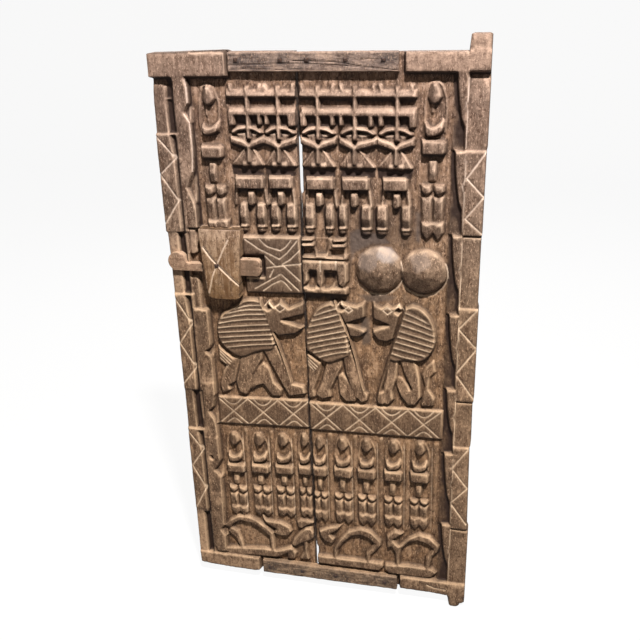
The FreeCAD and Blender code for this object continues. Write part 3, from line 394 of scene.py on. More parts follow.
# painted shadow in the gap left of the inner strip, where its shadow falls
left_plank.smudge(box(37, 50, 54, 104), 1.3, 2, "dirt", 9)
for top, foot, low, high in ((98, 178, 10.4, 12), (406, 570, 15.5, 11), (828, 950, 15.5, 11), (1200, 1350, 15.5, 15)):
    left_plank.carve(box(-20, top, 56, foot), 16, rim=16, down=[(top, low), (top + 18, (low + high) / 2), (foot, high)])
    left_plank.sink([(39, top), (52, top), (54, foot - 3), (41, foot - 3)], 1)
    # painted shadow down the gap beside each of these zones, where the inner strip's shadow falls
    for amount, level in ((1.3, 9), (0.5, 1)):
        left_plank.smudge([(38, top - 4), (54, top - 4), (56, foot - 2), (40, foot - 2)], amount, 2, "dirt", level)
for top, foot in ((176, 409), (567, 832), (947, 1202)):
    left_plank.carve([(-20, top), (58, top - 2), (58, foot), (-20, foot)], 17, rim=16)
    left_plank.sink([(42, top + 1), (53, top + 1), (54, foot), (49.5, foot), (48, top + 60)], 5)
    # painted shadow in the narrow gap beside each zigzag zone
    left_plank.smudge([(41, top + 1), (54, top + 1), (55, foot), (48.5, foot), (47, top + 60)], 1.0, 2, "dirt", 14)
left_plank.groove([[(0, 180), (45, 231), (3, 270), (43, 331), (4, 388)],
                   [(8, 580), (47, 646), (10, 700), (48, 766), (10, 814)],
                   [(7, 955), (46, 1010), (11, 1062), (45, 1130), (12, 1194)]], 5.5, 3, 16)
left_plank.carve([(-20, 1345), (183, 1346), (183, 1400), (-20, 1400)], FACE, rim=16.5)
upper_strip = [(50, 40), (82, 40), (83, 60), (86, 72), (86, 108), (75, 128), (87, 150), (88, 222), (84, 262), (68, 300),
               (80, 332), (85, 350), (84, 399), (53, 399), (49, 300), (47, 246), (52, 180), (51, 100)]
left_plank.carve(upper_strip, 17.6, rim=16, down=[(54, 17.6), (120, 17.4), (205, 15), (222, 17), (300, 17), (398, 16)])
left_plank.carve([(84, 108), (74, 129), (88, 152), (92, 152), (90, 108)], 12, rim=11, down=[(112, 3), (152, 12)])
left_plank.carve([(66, 300), (84, 262), (90, 262), (89, 340), (82, 332)], 9, rim=8, down=[(262, 2), (336, 9)])
left_plank.carve([(54, 400), (78, 400), (78, 458), (70, 463), (54, 463)], 13, rim=9, bevel=6,
                 over=[(54, 8), (66, 13), (78, 9)])
left_plank.carve([(56, 524), (60, 518), (72, 518), (77, 526), (78, 600), (56, 600)], 9, rim=6, bevel=5)
lower_strip = [(53, 603), (92, 605), (93, 700), (89, 711), (76, 721), (89, 732), (93, 745), (93, 842), (90, 850),
               (85, 880), (71, 893), (84, 914), (90, 940), (92, 1040), (84, 1058), (73, 1073), (90, 1092), (90, 1180),
               (88, 1250), (77, 1266), (89, 1288), (88, 1342), (57, 1342), (52, 1290), (52, 1205), (50, 1140),
               (55, 1080), (52, 1020), (53, 950), (57, 900), (56, 830), (58, 760), (54, 690), (58, 640)]
left_plank.carve(lower_strip, 18, rim=15,
                 down=[(603, 17.5), (700, 16.5), (806, 15), (811, 17.5), (900, 16.5), (967, 15), (972, 17.5),
                       (1060, 16), (1143, 15), (1148, 17), (1250, 16), (1342, 16.5)])
for tip, high in ((720, 16), (893, 34), (1073, 20), (1266, 16)):
    left_plank.carve([(74, tip), (90, tip - high), (97, tip - high), (97, tip + high), (88, tip + high)], 10, rim=9,
                     down=[(tip - high * .8, 1), (tip + high, 10)])
left_plank.sink([(68, 1020), (74, 1021), (76, 1030), (70, 1031)], 5, wall=3)
left_plank.groove([[(62, 1192), (70, 1200), (78, 1196), (74, 1188)]], 4, 1.5, 12, fresh=False)
left_plank.sink([(30, 58), (40, 60), (41, 69), (33, 70)], 1, wall=3)

# field of the left plank, top: the tall figure, two masked poles and two stools
standing_figure(left_plank, 132, 26, (71, 113, 143, 178, 201, 231, 240, 288, 322, 377, 399, 407))
masked_bars(left_plank, 174, 334, ((177, 190, 158), (244, 252, 156), (260, 268, 156), (314, 333, 158)))
masked_pole(left_plank, 222, 180, 257)
masked_pole(left_plank, 292, 258, 333)
left_plank.carve([(255, 74), (262, 66), (268, 66), (273, 74), (272, 88), (256, 88)], 9, rim=4, bevel=4)
table(left_plank, 184, 251, 220, 267, ((190, 208), (231, 252)))
table(left_plank, 264, 317, 291, 265, ((265, 286), (303, 326)))

# field of the left plank, middle: the plate beside the lock with its knife-cut V lines
for outline in ([(112, 378), (132, 378), (131, 394), (111, 394)], [(142, 375), (161, 375), (160, 394), (141, 394)]):
    left_plank.carve(outline, 14, rim=12)
left_plank.carve([(58, 391), (188, 390), (188, 400), (58, 400)], 6, rim=5)
left_plank.carve([(193, 411), (334, 408), (335, 549), (196, 553), (195, 512), (243, 510), (243, 457), (193, 459)], 11,
                 rim=9.5)
left_plank.groove([[(200, 419), (232, 441), (282, 464), (300, 449), (326, 418)],
                   [(235, 417), (252, 434), (285, 443), (298, 434), (312, 416)], [(245, 456), (270, 480)],
                   [(331, 441), (308, 464), (288, 477)], [(250, 487), (290, 480), (333, 474)],
                   [(219, 541), (284, 501), (327, 541)], [(238, 546), (262, 528), (284, 517), (294, 524), (308, 541)],
                   [(291, 480), (330, 516)], [(256, 510), (266, 491)]], 4, 2, 11)

# field of the left plank, lower: the first beast, the diamonds, the row of small figures and the foot scene
striped_beast(
    left_plank,
    body=[(187, 571), (228, 570), (241, 606), (253, 648), (262, 700), (215, 708), (172, 731), (150, 722), (125, 704),
          (112, 682), (110, 655), (116, 630), (128, 613), (152, 598), (172, 585)],
    stripes=[[(172, 592), (200, 581), (226, 580)], [(148, 606), (190, 593), (231, 591)],
             [(130, 620), (180, 605), (236, 602)], [(120, 633), (170, 620), (240, 613)],
             [(115, 646), (165, 634), (243, 627)], [(113, 658), (165, 651), (247, 641)],
             [(114, 671), (170, 664), (251, 654)], [(120, 684), (175, 676), (254, 667)],
             [(128, 697), (180, 687), (257, 679)], [(142, 709), (195, 699), (258, 691)]],
    mane=[(226, 572), (240, 612), (254, 652), (272, 708), (290, 762), (297, 790)],
    head=[(236, 592), (250, 573), (263, 588), (278, 570), (298, 589), (336, 570), (338, 634), (314, 654), (268, 663),
          (256, 652)],
    ear=(249, 586), eye=(277, 588, 13), mouth=[(281, 615), (340, 596), (340, 632), (306, 622)],
    limbs=(([(148, 731), (170, 729), (157, 766), (149, 800), (132, 812), (137, 824), (112, 836), (108, 812),
             (118, 772)], 9, [(728, 5), (800, 9), (840, 9)]),
           ([(171, 722), (228, 706), (222, 734), (197, 774), (193, 812), (178, 834), (158, 828), (151, 800)], 12,
            [(700, 6), (760, 11), (820, 12)]),
           ([(194, 776), (211, 754), (226, 740), (241, 757), (254, 791), (273, 811), (268, 830), (246, 832), (224, 800),
             (206, 806), (192, 820)], 10, [(740, 4), (800, 10), (834, 10)]),
           ([(228, 706), (262, 690), (290, 760), (298, 790), (330, 796), (334, 818), (290, 828), (264, 778),
             (246, 742)], 11, [(690, 7), (780, 11), (826, 11)])),
    tail=[(111, 702), (156, 738), (141, 760), (111, 744)])
left_plank.groove([[(113, 712), (143, 742)], [(113, 721), (139, 748)], [(113, 731), (135, 755)],
                   [(113, 741), (130, 758)]], 4, 2.5, 8)
diamond_band(left_plank, left=100, right=341, top=844, slope=-0.045, centres=(140, 220, 300), half=40)
for centre in (168, 238, 300):
    left_plank.carve([(centre - 5, 935), (centre + 4, 932), (centre + 6, 1060), (centre + 4, 1205), (centre - 5, 1210),
                      (centre - 6, 1060)], 3.5, rim=1, bevel=6)
    left_plank.groove([[(centre - 9, 950), (centre - 8, 1030), (centre - 7, 1195)]], 3, 0.6, 2, fresh=0.6)
LEFT_STATIONS = (947, 986, 997, 1036, 1042, 1069, 1074, 1107, 1134, 1176, 1194, 1210)
for centre, half, lean in ((133, 25, 4), (201, 25, -1), (266, 25, -6), (323, 18, -11)):
    standing_figure(left_plank, centre, half, [y + lean for y in LEFT_STATIONS], rise=13)
for outline, rise, rim, bevel in (
        ([(85, 1322), (120, 1318), (200, 1309), (235, 1312), (276, 1295), (284, 1304), (238, 1336), (90, 1344)], 13, 10,
         5),
        ([(86, 1250), (104, 1226), (128, 1210), (160, 1208), (184, 1218), (212, 1238), (229, 1256), (231, 1316),
          (217, 1314), (214, 1268), (190, 1246), (165, 1232), (135, 1229), (115, 1241), (104, 1258)], 12, 5, 7),
        ([(102, 1250), (129, 1262), (137, 1290), (143, 1324), (130, 1324), (118, 1291), (97, 1268)], 10, 5, 5),
        ([(196, 1202), (212, 1214), (250, 1215), (276, 1228), (281, 1244), (268, 1261), (244, 1263), (226, 1256),
          (236, 1242), (206, 1226)], 12, 5, 7),
        ([(276, 1289), (284, 1266), (300, 1244), (318, 1226), (334, 1223), (345, 1240), (345, 1256), (330, 1267),
          (306, 1279), (290, 1293)], 12, 5, 8),
        ([(295, 1207), (306, 1199), (345, 1200), (345, 1208), (328, 1216), (318, 1221), (310, 1229), (298, 1227)], 10,
         5, 1.6),
        ([(312, 1262), (323, 1260), (323, 1304), (328, 1330), (298, 1332), (312, 1304)], 9, 5, 1.6),
        ([(265, 1302), (280, 1296), (292, 1312), (286, 1334), (264, 1336)], 10, 5, 1.6)):
    left_plank.carve(outline, rise, rim, bevel)
for outline, amount, layer in (
        ([(2, 70), (42, 70), (44, 178), (4, 178)], 0.45, "stained"),
        ([(2, 410), (42, 410), (44, 566), (4, 566)], 0.7, "bare"),
        ([(6, 835), (40, 835), (44, 948), (6, 948)], 0.3, "stained"),
        ([(4, 1205), (44, 1205), (46, 1350), (4, 1350)], 1.0, "bare"),
        ([(60, 120), (80, 120), (80, 210), (58, 200)], 0.3, "stained"),
        ([(56, 220), (84, 220), (78, 270), (58, 280)], 0.4, "bare"),
        ([(60, 610), (84, 610), (80, 700), (60, 700)], 0.55, "stained"),
        ([(156, 767), (170, 735), (171, 729), (153, 798), (149, 800)], 0.5, "bare"),
        ([(110, 1220), (230, 1260), (225, 1305), (140, 1310)], 0.3, "bare")):
    left_plank.smudge(outline, amount, 14, layer)
left_plank.smudge(box(-10, -10, 182, 44), 0.3, 10, "bare")
# painted shade in the gap at the head's inner end, along the head's top edge, and down the right side of the inner
# strip
left_plank.smudge(box(176, -8, 186, 54), 0.8, 3, "dirt")
left_plank.smudge([(-5, -12), (186, -14), (186, -2), (-5, 3)], 0.55, 3, "dirt")
left_plank.smudge([(84, 54), (92, 54), (94, 400), (85, 400)], 0.75, 1.5, "dirt", 10)
# a shallow pale cut along the inner strip's right edge and its notch: painted highlight on the edge turned to the lamp
left_plank.groove([[(81, 56), (84, 74), (84, 106)], [(74, 131), (85, 150), (86, 220), (82, 262)]], 2.6, 0.3, 17)
left_plank.smudge([(196, 412), (332, 410), (333, 547), (198, 551)], 0.65, 6)
# painted shadow in the gap round the bolt's tongue
for outline in ([(188, 452), (250, 450), (250, 463), (188, 465)], box(237, 455, 250, 512),
                [(190, 504), (245, 504), (243, 520), (192, 522)]):
    left_plank.smudge(outline, 1.2, 1.5, "dirt", 3)
left_plank.smudge(box(0, 1348, 183, 1400), 0.5, 8, "bare")


MOST_FACES, FACES_PER_CELL = 186000, 2.04   # triangles left in a plank, and those of each cell of its net before
LUG_RADIUS, LUG_SHOULDER = 25.0, 3          # mm round the pivots' line, and past the leaf's ends, where the lugs begin
BACK = 20                                   # mm from the frame's plane back to the face of the adzed back


def edge_distance(x, y):
    """How many mm each point of a net lies from the plank's nearest edge."""
    across = np.minimum(x - x[:, :1], x[:, -1:] - x)
    return np.minimum(across, np.minimum(y - y[:1, :], y[-1:, :] - y))


def lug_round(x, y):
    """Which points of a net are on the pivot lugs, and how far out their rounded face stands there."""
    lug = (y < -LUG_SHOULDER) | (y > LEAF_HEIGHT + LUG_SHOULDER)
    return lug, np.sqrt(np.maximum(LUG_RADIUS ** 2 - (x[lug] - PIVOT_X) ** 2, 60))


def in_frame(x, out, y):
    """Turns mm on the leaf, out of it and down it to metres in the frame."""
    return np.stack([(x - PIVOT_X) / 1000, out / 1000, (HEAD_Z - y) / 1000], -1).reshape(-1, 3)


def placed(name, data):
    """Puts a new piece into the scene."""
    piece = bpy.data.objects.new(name, data)
    bpy.context.scene.collection.objects.link(piece)
    return piece


def settled(piece):
    """Turns what a piece's modifiers make of it into its own mesh."""
    before = piece.data
    bpy.context.view_layer.update()
    piece.data = bpy.data.meshes.new_from_object(piece.evaluated_get(bpy.context.evaluated_depsgraph_get()))
    piece.modifiers.clear()
    bpy.data.meshes.remove(before)
    piece.data.name = piece.name


def smoothed(mesh):
    """Shades a mesh smooth, with its sharp arrises kept."""
    mesh.shade_smooth()
    mesh.set_sharp_from_angle(angle=math.radians(50))


def finish_plank(plank, seed):
    """Leaves the marks of adze, knife and weather on a carved net, and says where it is worn and where painted
    shade and painted highlight lie.
    """
    x, y, h = plank.x, plank.y, plank.h
    ground = np.clip(1.5 - h / 3, 0, 1)
    waves = unevenness(x, y, 13, 26, seed) * (0.35 + 0.5 * ground)
    h += waves + unevenness(x, y, 4.5, 8, seed + 1) * (0.34 + 0.4 * ground)
    h += unevenness(x, y, 60, 160, seed + 2) * 0.7
    edge = edge_distance(x, y) + 1.2 * unevenness(x, y, 7, 10, seed + 3)
    h -= 2.4 * np.clip(1 - edge / 3.4, 0, 1) ** 2
    # painted shadow on the walls of the seam between the planks
    plank.dirt[(edge < 2.5) & (abs(x - SEAM_X) < 9)] += 0.7
    lug, round_face = lug_round(x, y)
    h[lug] = np.minimum(h[lug], round_face - GROUND)
    h[:] = soften(h, 1)
    fine, broad = max(1, round(1.3 / NET_STEP)), max(2, round(7 / NET_STEP))
    down = np.gradient(h, axis=0) / np.maximum(np.gradient(y, axis=0), 0.3)
    along = np.gradient(h, axis=1) / np.maximum(np.gradient(x, axis=1), 0.3)
    lit = soften(down - 0.4 * along, 1)
    crest = h - soften(h, fine)
    # pale knife cuts, full on walls turned to the lamp and dimmed on walls turned away: painted highlight and shade
    scored = plank.scored * np.clip(0.75 + lit, 0.2, 1) * (0.85 + 0.3 * unevenness(x, y, 20, 20, seed + 5))
    bulk = h - soften(h, broad)
    rubbed = 0.8 + 0.45 * unevenness(x, y, 16, 30, seed + 4)
    # pale crests, kept to those turned towards the lamp: wear with a painted highlight
    wear_and_highlight = np.clip(crest / 0.5, 0, 1) * np.clip(0.15 + lit / 0.8, 0, 1)
    wear_and_highlight = np.max([np.roll(wear_and_highlight, step, axis) for axis in (0, 1) for step in (-1, 0, 1)], 0)
    wear_and_highlight = wear_and_highlight * np.clip(1.35 - np.hypot(down, along) / 1.6, 0.15, 1) * rubbed
    # painted shade: darker in hollows and on slopes turned away from the lamp
    hollow = np.clip(-crest / 2.5, 0, 0.4) + np.clip(-bulk / 7, 0, 0.35) + 0.7 * np.clip(-lit / 1.6, 0, 1)
    return {
        "wear_and_highlight": wear_and_highlight,
        "scored": scored,
        # painted highlight on slopes turned up and right, towards the lamp
        "painted_highlight": np.clip(lit / 1.2 - 0.15, 0, 0.85) * rubbed,
        "painted_shade": hollow + plank.dirt * rubbed,
        "high": np.clip((h - 4) / 5, 0, 1),
        "ground": ground,
        "stained": plank.stained,
        "bare": plank.bare,
        "polish_and_sheen": plank.polish_and_sheen,
    }


def plank_piece(piece_name, plank, marks):
    """Closes the net into a solid board with an adzed back, and thins the flat parts of it."""
    front = in_frame(plank.x, -(GROUND + plank.h), plank.y)
    x, y = plank.x[::BACK_STEP, ::BACK_STEP], plank.y[::BACK_STEP, ::BACK_STEP]
    back = BACK + 0.9 * unevenness(x, y, 45, 70, 91) + 0.5 * unevenness(x, y, 14, 30, 92) - 1.0
    back -= 1.5 * np.clip(1 - edge_distance(x, y) / 6, 0, 1) ** 2
    lug, round_face = lug_round(x, y)
    back[lug] = np.minimum(back[lug], round_face)
    rear = in_frame(x, back, y)
    index = np.arange(len(front)).reshape(plank.x.shape)
    behind = len(front) + np.arange(len(rear)).reshape(x.shape)
    quads = np.stack([index[:-1, :-1], index[1:, :-1], index[1:, 1:], index[:-1, 1:]], -1).reshape(-1, 4)
    rears = np.stack([behind[:-1, :-1], behind[:-1, 1:], behind[1:, 1:], behind[1:, :-1]], -1).reshape(-1, 4)
    faces = quads.tolist() + rears.tolist()
    for fine, rough in ((index[0, ::-1], behind[0, ::-1]), (index[:, 0], behind[:, 0]), (index[-1], behind[-1]),
                        (index[::-1, -1], behind[::-1, -1])):
        for k in range(len(rough) - 1):
            strip = fine[BACK_STEP * k:BACK_STEP * (k + 1) + 1][::-1]
            faces.append([int(v) for v in strip] + [int(rough[k]), int(rough[k + 1])])
    mesh = bpy.data.meshes.new(piece_name)
    mesh.from_pydata(np.concatenate([front, rear]).tolist(), [], faces)
    for name, values in marks.items():
        data = np.concatenate([values.reshape(-1), np.full(len(rear), 0.5 if name == "high" else 0.0)])
        mesh.attributes.new(name, "FLOAT", "POINT").data.foreach_set("value", data.astype(np.float32))
    piece = placed(piece_name, mesh)
    thin = piece.modifiers.new("thin", "DECIMATE")
    thin.ratio = MOST_FACES / (FACES_PER_CELL * len(quads))
    settled(piece)
    smoothed(piece.data)
    return piece


def dye(red, green, blue):
    """A colour as it looks, 0 to 255, turned to the shader's numbers."""
    return tuple(((v / 255 + 0.055) / 1.055) ** 2.4 if v > 10 else v / 255 / 12.92 for v in (red, green, blue)) + (1.0,)


def knot(material, kind, wires=(), **settings):
    """Adds one node of a finish; wires gives its sockets their values or what feeds them."""
    made = material.node_tree.nodes.new(kind)
    for key, value in settings.items():
        setattr(made, key, value)
    for key, value in dict(wires).items():
        if isinstance(value, bpy.types.NodeSocket):
            material.node_tree.links.new(value, made.inputs[key])
        else:
            made.inputs[key].default_value = value
    return made


def layered(material, under, over, share, way="MIX"):
    """One colour laid over another by a share."""
    return knot(material, "ShaderNodeMix", {0: share, 6: under, 7: over}, data_type="RGBA", blend_type=way).outputs[2]


def spread(material, value, low, high, out_low=0.0, out_high=1.0):
    """Maps a value from one range to another."""
    ends = {"From Min": low, "From Max": high, "To Min": out_low, "To Max": out_high}
    return knot(material, "ShaderNodeMapRange", {"Value": value, **ends}).outputs[0]


def times(material, first, second):
    """Multiplies two values."""
    return knot(material, "ShaderNodeMath", {0: first, 1: second}, operation="MULTIPLY", use_clamp=True).outputs[0]


def mottle(material, place, stretch, scale, detail=5.0, rough=0.6):
    """Noise in object space, drawn out along the grain."""
    laid = knot(material, "ShaderNodeMapping", {"Vector": place, "Scale": stretch}).outputs[0]
    wires = {"Vector": laid, "Scale": scale, "Detail": detail, "Roughness": rough}
    return knot(material, "ShaderNodeTexNoise", wires).outputs[0]


def mark(material, name):
    """How strongly a mark that the mesh carries shows at each place."""
    return knot(material, "ShaderNodeAttribute", attribute_name=name).outputs["Fac"]


def new_finish(name):
    """A new finish and its shader."""
    material = bpy.data.materials.new(name)
    material.use_nodes = True
    return material, material.node_tree.nodes["Principled BSDF"]


POLISH_AND_SHEEN = (172, 164, 160)             # the grey shine of handled wood, also laid as painted sheen on the boss facet turned to the lamp, the same on every piece


def old_wood(name, tones, stretch):
    """Dry hand-cut hardwood: two body tones under layers of bloom, weather stains, dark and pale grain and flecks,
    then bare places, handled shine with painted sheen, painted highlight on upward slopes, painted shade in the
    hollows and under forms, wear with painted highlight on crests, and pale knife cuts lit on one side."""
    material, shader = new_finish(name)
    place = knot(material, "ShaderNodeTexCoord").outputs["Object"]
    tones = {**tones, "polish_and_sheen": POLISH_AND_SHEEN}
    even = (1, 1, 1)
    broad = mottle(material, place, even, 9, 4)
    grain = mottle(material, place, [max(s, 0.16) for s in stretch], 120, 7, 0.72)
    fine = mottle(material, place, stretch, 620, 4, 0.7)
    spots = mottle(material, place, even, 120, 5, 0.7)
    patches = mottle(material, place, (1, 1, 0.6), 34, 5, 0.65)
    flecks = mottle(material, place, (1, 1, 0.4), 330, 6, 0.75)
    colour = layered(material, dye(*tones["body"]), dye(*tones["warm"]), spread(material, broad, 0.4, 0.62))
    for tone, share in (
            ("ground", times(material, mark(material, "ground"), 0.75)),
            ("bloom", times(material, mark(material, "high"), spread(material, broad, 0.35, 0.6, 0.5, 0.95))),
            ("stain", spread(material, patches, 0.46, 0.62, 0.0, 0.8)),
            ("pale", spread(material, patches, 0.47, 0.3, 0.0, 0.65)),
            ("dark", spread(material, grain, 0.49, 0.63, 0.0, 0.95)),
            ("pale", spread(material, fine, 0.54, 0.74, 0.0, 0.5)),
            ("dark", spread(material, spots, 0.54, 0.65, 0.0, 0.95)),
            ("pale", spread(material, flecks, 0.54, 0.65, 0.0, 0.95)),
            ("pale", times(material, mark(material, "bare"), spread(material, spots, 0.35, 0.6, 1.0, 0.35))),
            ("stain", mark(material, "stained")),
            ("polish_and_sheen", mark(material, "polish_and_sheen")),
            # painted highlight on upward slopes, painted shade in hollows, then wear with painted highlight on crests
            ("edge", times(material, mark(material, "painted_highlight"), 0.28)),
            ("painted_shade", mark(material, "painted_shade")),
            ("edge", times(material, mark(material, "wear_and_highlight"), 0.7)),
            ("cut", times(material, mark(material, "scored"), 0.95))):
        colour = layered(material, colour, dye(*tones[tone]), share)
    level = knot(material, "ShaderNodeSeparateXYZ", {"Vector": place}).outputs["Z"]
    colour = layered(material, colour, (1.02, 1.0, 1.12, 1), spread(material, level, 0.85, 1.3), "MULTIPLY")
    colour = layered(material, colour, (1.05, 0.985, 0.9, 1), spread(material, level, 1.05, 0.75), "MULTIPLY")
    material.node_tree.links.new(colour, shader.inputs["Base Color"])
    material.node_tree.links.new(spread(material, spots, 0.3, 0.7, 0.62, 0.86), shader.inputs["Roughness"])
    shader.inputs["Specular IOR Level"].default_value = 0.35
    relief = knot(material, "ShaderNodeMath", {0: grain, 1: fine}, operation="ADD").outputs[0]
    bump = knot(material, "ShaderNodeBump", {"Height": relief, "Strength": 0.6, "Distance": 0.0013})
    under = bump.outputs[0]
    bump = knot(material, "ShaderNodeBump", {"Height": spots, "Strength": 0.6, "Distance": 0.003, "Normal": under})
    material.node_tree.links.new(bump.outputs[0], shader.inputs["Normal"])
    return material


# edge is the pale tone of wear and painted highlight; the darkest tone is for painted shade
PLANK_TONES = {"body": (118, 94, 73), "warm": (138, 109, 82), "ground": (142, 111, 83), "bloom": (112, 92, 75),
               "dark": (68, 45, 29), "pale": (192, 161, 133), "edge": (214, 184, 153), "cut": (232, 207, 180),
               "painted_shade": (40, 23, 13), "stain": (76, 58, 44)}
plank_wood = old_wood("plank_wood", PLANK_TONES, (1, 1, 0.09))
left_piece = plank_piece("left_plank_carving", left_plank, finish_plank(left_plank, seed=11))
left_piece.data.materials.append(plank_wood)
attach(left_piece, "leaf")
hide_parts("left_plank")

# Right plank: the other half of the leaf, from the same timber, carved as the left one is. Its outer
# edge is the hinge side, and a round-backed pivot lug is left standing at its head and at its foot,
# to turn in sockets in the door frame.

right_plank = Plank(
    left=[(0, 336.3), (180, 336.3), (184, 341.3), (305, 341.3), (310, 337), (550, 337), (560, 338), (930, 340),
          (1200, 344.1), (1288, 344.8), (1294, 349.4), (1342, 349.4), (1345, 347), (1388, 348)],
    right=[(0, 748), (50, 748), (55, 748.5), (198, 748.5), (202, 747), (390, 746.5), (397, 745), (560, 744.5),
           (563, 747), (800, 746.5), (812, 743.5), (925, 744.5), (930, 741.5), (1172, 745), (1178, 748.5), (1388, 748)],
    top=[(336, 1.5), (570, 1.5), (573, 1), (704.5, 1), (706.2, -32), (709, -33.5), (744, -33.5), (748, -31)],
    foot=[(340, 1388), (573, 1388), (576, 1384), (660, 1385), (696, 1388), (701, 1391), (705.5, 1404), (709, 1418),
          (713, 1421), (727, 1421), (735, 1416), (748, 1412)])

# border of the right plank
right_plank.carve(box(572, -60, 780, 42), FACE, rim=17)
right_plank.carve(box(703, 36, 780, 100), 14, rim=14, down=[(40, 2), (50, 3), (58, 7), (80, 12), (100, 13)])
for top, foot, low in ((94, 204, 12.6), (392, 566, 15), (804, 932, 15), (1174, 1350, 15)):
    right_plank.carve(box(702, top, 780, foot), 15, rim=14, down=[(top, low), (top + 20, 13), (foot, 12.5)])
for top, foot in ((201, 391), (562, 804), (929, 1174)):
    right_plank.carve(box(702, top, 780, foot), 17, rim=15.5)
right_plank.groove([[(748, 203), (709, 261), (747, 301), (709, 350), (748, 385)],
                    [(745, 564), (705, 613), (748, 661), (702, 729), (748, 794)],
                    [(740, 932), (702, 990), (742, 1045), (702, 1093), (745, 1156)]], 5.5, 3, 16)
right_plank.carve(box(575, 1345, 780, 1460), FACE, rim=16.5)
for top, foot in ((40, 202), (203, 388), (390, 578), (580, 770), (772, 948), (950, 1160), (1162, 1343)):
    tall = foot - top
    right_plank.carve(box(674, top + 4, 705, foot), 6, rim=5, down=[(top, 0.5), (top + tall * .5, 1), (foot, 6)])
    # painted shadow in the wedge left of each board, where the board's shadow falls
    right_plank.smudge([(673, top + 4), (684, top + 2), (688, top + tall * .4), (701, top + tall * .62),
                        (701, foot - 12), (676, foot - 5)], 1.0, 5, "dirt")
    right_plank.carve([(681, top), (706, top), (706, foot), (700, foot), (699, top + tall * .7), (692, top + tall * .6),
                       (687, top + tall * .42), (683, top + tall * .2)], 17.5, rim=16,
                      down=[(top, 17.5), (top + tall * .6, 14.5), (foot, 13)])
    right_plank.groove([[(705, top + 12), (705, top + tall * .34), (700, top + tall * .42), (705, top + tall * .5),
                         (704, foot - 6)]], 3, 0, 15)
right_plank.groove([[(648, 1362), (668, 1369), (700, 1371)]], 4, 4, 18)
right_plank.sink([(736, 1400), (750, 1398), (750, 1413), (742, 1411)], 4, wall=3)

# field of the right plank, top: three masked poles, three stools and the tall figure
masked_bars(right_plank, 341, 597, ((342, 354, 158), (409, 418, 156), (429, 437, 156), (493, 503, 158), (515, 525, 156),
                                    (582, 595, 158)))
masked_pole(right_plank, 382, 343, 422)
masked_pole(right_plank, 464, 430, 511)
masked_pole(right_plank, 556, 515, 593)
table(right_plank, 352, 414, 381, 265, ((347, 368), (394, 413)))
table(right_plank, 434, 493, 461, 264, ((425, 443), (477, 501)))
table(right_plank, 526, 579, 557, 263, ((512, 536), (568, 589)))
standing_figure(right_plank, 636, 26, (64, 107, 132, 174, 182, 213, 226, 272, 304, 364, 387, 408))

# field of the right plank, middle: the face plaque and the two bosses
right_plank.carve([(336, 411), (443, 408), (444, 546), (336, 547)], 7, rim=6)
right_plank.sink([(366, 408), (404, 408), (396, 448), (378, 448)], 1, wall=3)
for outline in (
        [(336, 411), (364, 411), (364, 418), (336, 419)],
        [(336, 424), (366, 422), (367, 431), (336, 432)],
        [(411, 411), (440, 409), (440, 417), (410, 419)],
        [(409, 424), (440, 422), (440, 431), (407, 432)],
        [(336, 450), (444, 449), (444, 461), (336, 461)],
        [(336, 464), (444, 463), (444, 488), (336, 489)],
        [(336, 486), (352, 486), (352, 515), (336, 532)],
        [(369, 486), (389, 486), (389, 514), (380, 535), (370, 520)],
        [(418, 486), (444, 486), (444, 514), (434, 530), (422, 520)],
        [(336, 531), (444, 529), (444, 546), (336, 547)]):
    right_plank.carve(outline, 17, rim=15, bevel=2.5)
for outline in ([(336, 434), (368, 434), (372, 449), (336, 449)], [(404, 434), (438, 434), (438, 449), (400, 449)],
                box(354, 490, 368, 528), [(391, 490), (416, 490), (416, 510), (404, 526), (391, 528)]):
    right_plank.sink(outline, 1.5)
# painted shade in the plaque's windows and painted shadow under the plaque
for outline in (box(352, 489, 370, 506), box(389, 489, 418, 504), [(338, 548), (444, 547), (440, 560), (340, 561)]):
    right_plank.smudge(outline, 0.9, 4, "dirt")
right_plank.groove([[(381, 463), (381, 488)], [(418, 463), (418, 488)]], 4, 2, 13)
right_plank.sink(box(444, 458, 450, 463), 0, wall=2)
BOSS_FACETS = ((0, 26.0), (0.5, 24), (1.25, 26), (2.05, 25), (2.8, 24), (3.5, 26), (4.2, 24), (4.9, 26), (5.6, 25))
BOSS_TOP, BOSS_CROWN, BOSS_SIDE = 29.0, 34, 62   # mm: its flat top, and its two rings of facets carried to its middle
for cx, cy, radius, turn in ((518, 481, 55, 0.2), (620.5, 480, 53, 0.75)):
    (mx, my), = seen([(cx, cy)], 14)
    part = right_plank.near([(mx - radius, my - radius), (mx + radius, my + radius)], 4)
    px, py = right_plank.x[part] - mx, right_plank.y[part] - my
    top = np.full(px.shape, BOSS_TOP)
    for angle, reach in BOSS_FACETS:
        toward = px * math.cos(angle + turn) + py * math.sin(angle + turn)
        top = np.minimum(top, BOSS_CROWN - toward * (0.36 + reach / 220))
        top = np.minimum(top, BOSS_SIDE - toward * (1.02 + reach / 400))
    wall = np.clip((radius - np.hypot(px, py)) / 2 + 0.5, 0, 1)
    right_plank.h[part] = np.maximum(right_plank.h[part], np.maximum(top, 5) * wall)
right_plank.smudge([(452, 350), (480, 345), (600, 380), (600, 415), (520, 425), (455, 430)], 0.6, 26)
for outline in ([(450, 395), (470, 385), (520, 395), (545, 415), (500, 418), (462, 440), (452, 470)],
                [(470, 545), (520, 536), (560, 545), (540, 556), (490, 560)],
                [(476, 600), (496, 600), (498, 668), (478, 672)], [(600, 340), (612, 340), (612, 410), (602, 410)]):
    for amount, layer in ((0.75, "stained"), (0.1, "polish_and_sheen")):
        right_plank.smudge(outline, amount, 7, layer)
right_plank.smudge(box(572, -10, 750, 40), 0.5, 10, "bare")
right_plank.smudge(box(700, -40, 750, 0), 0.75, 10, "bare")
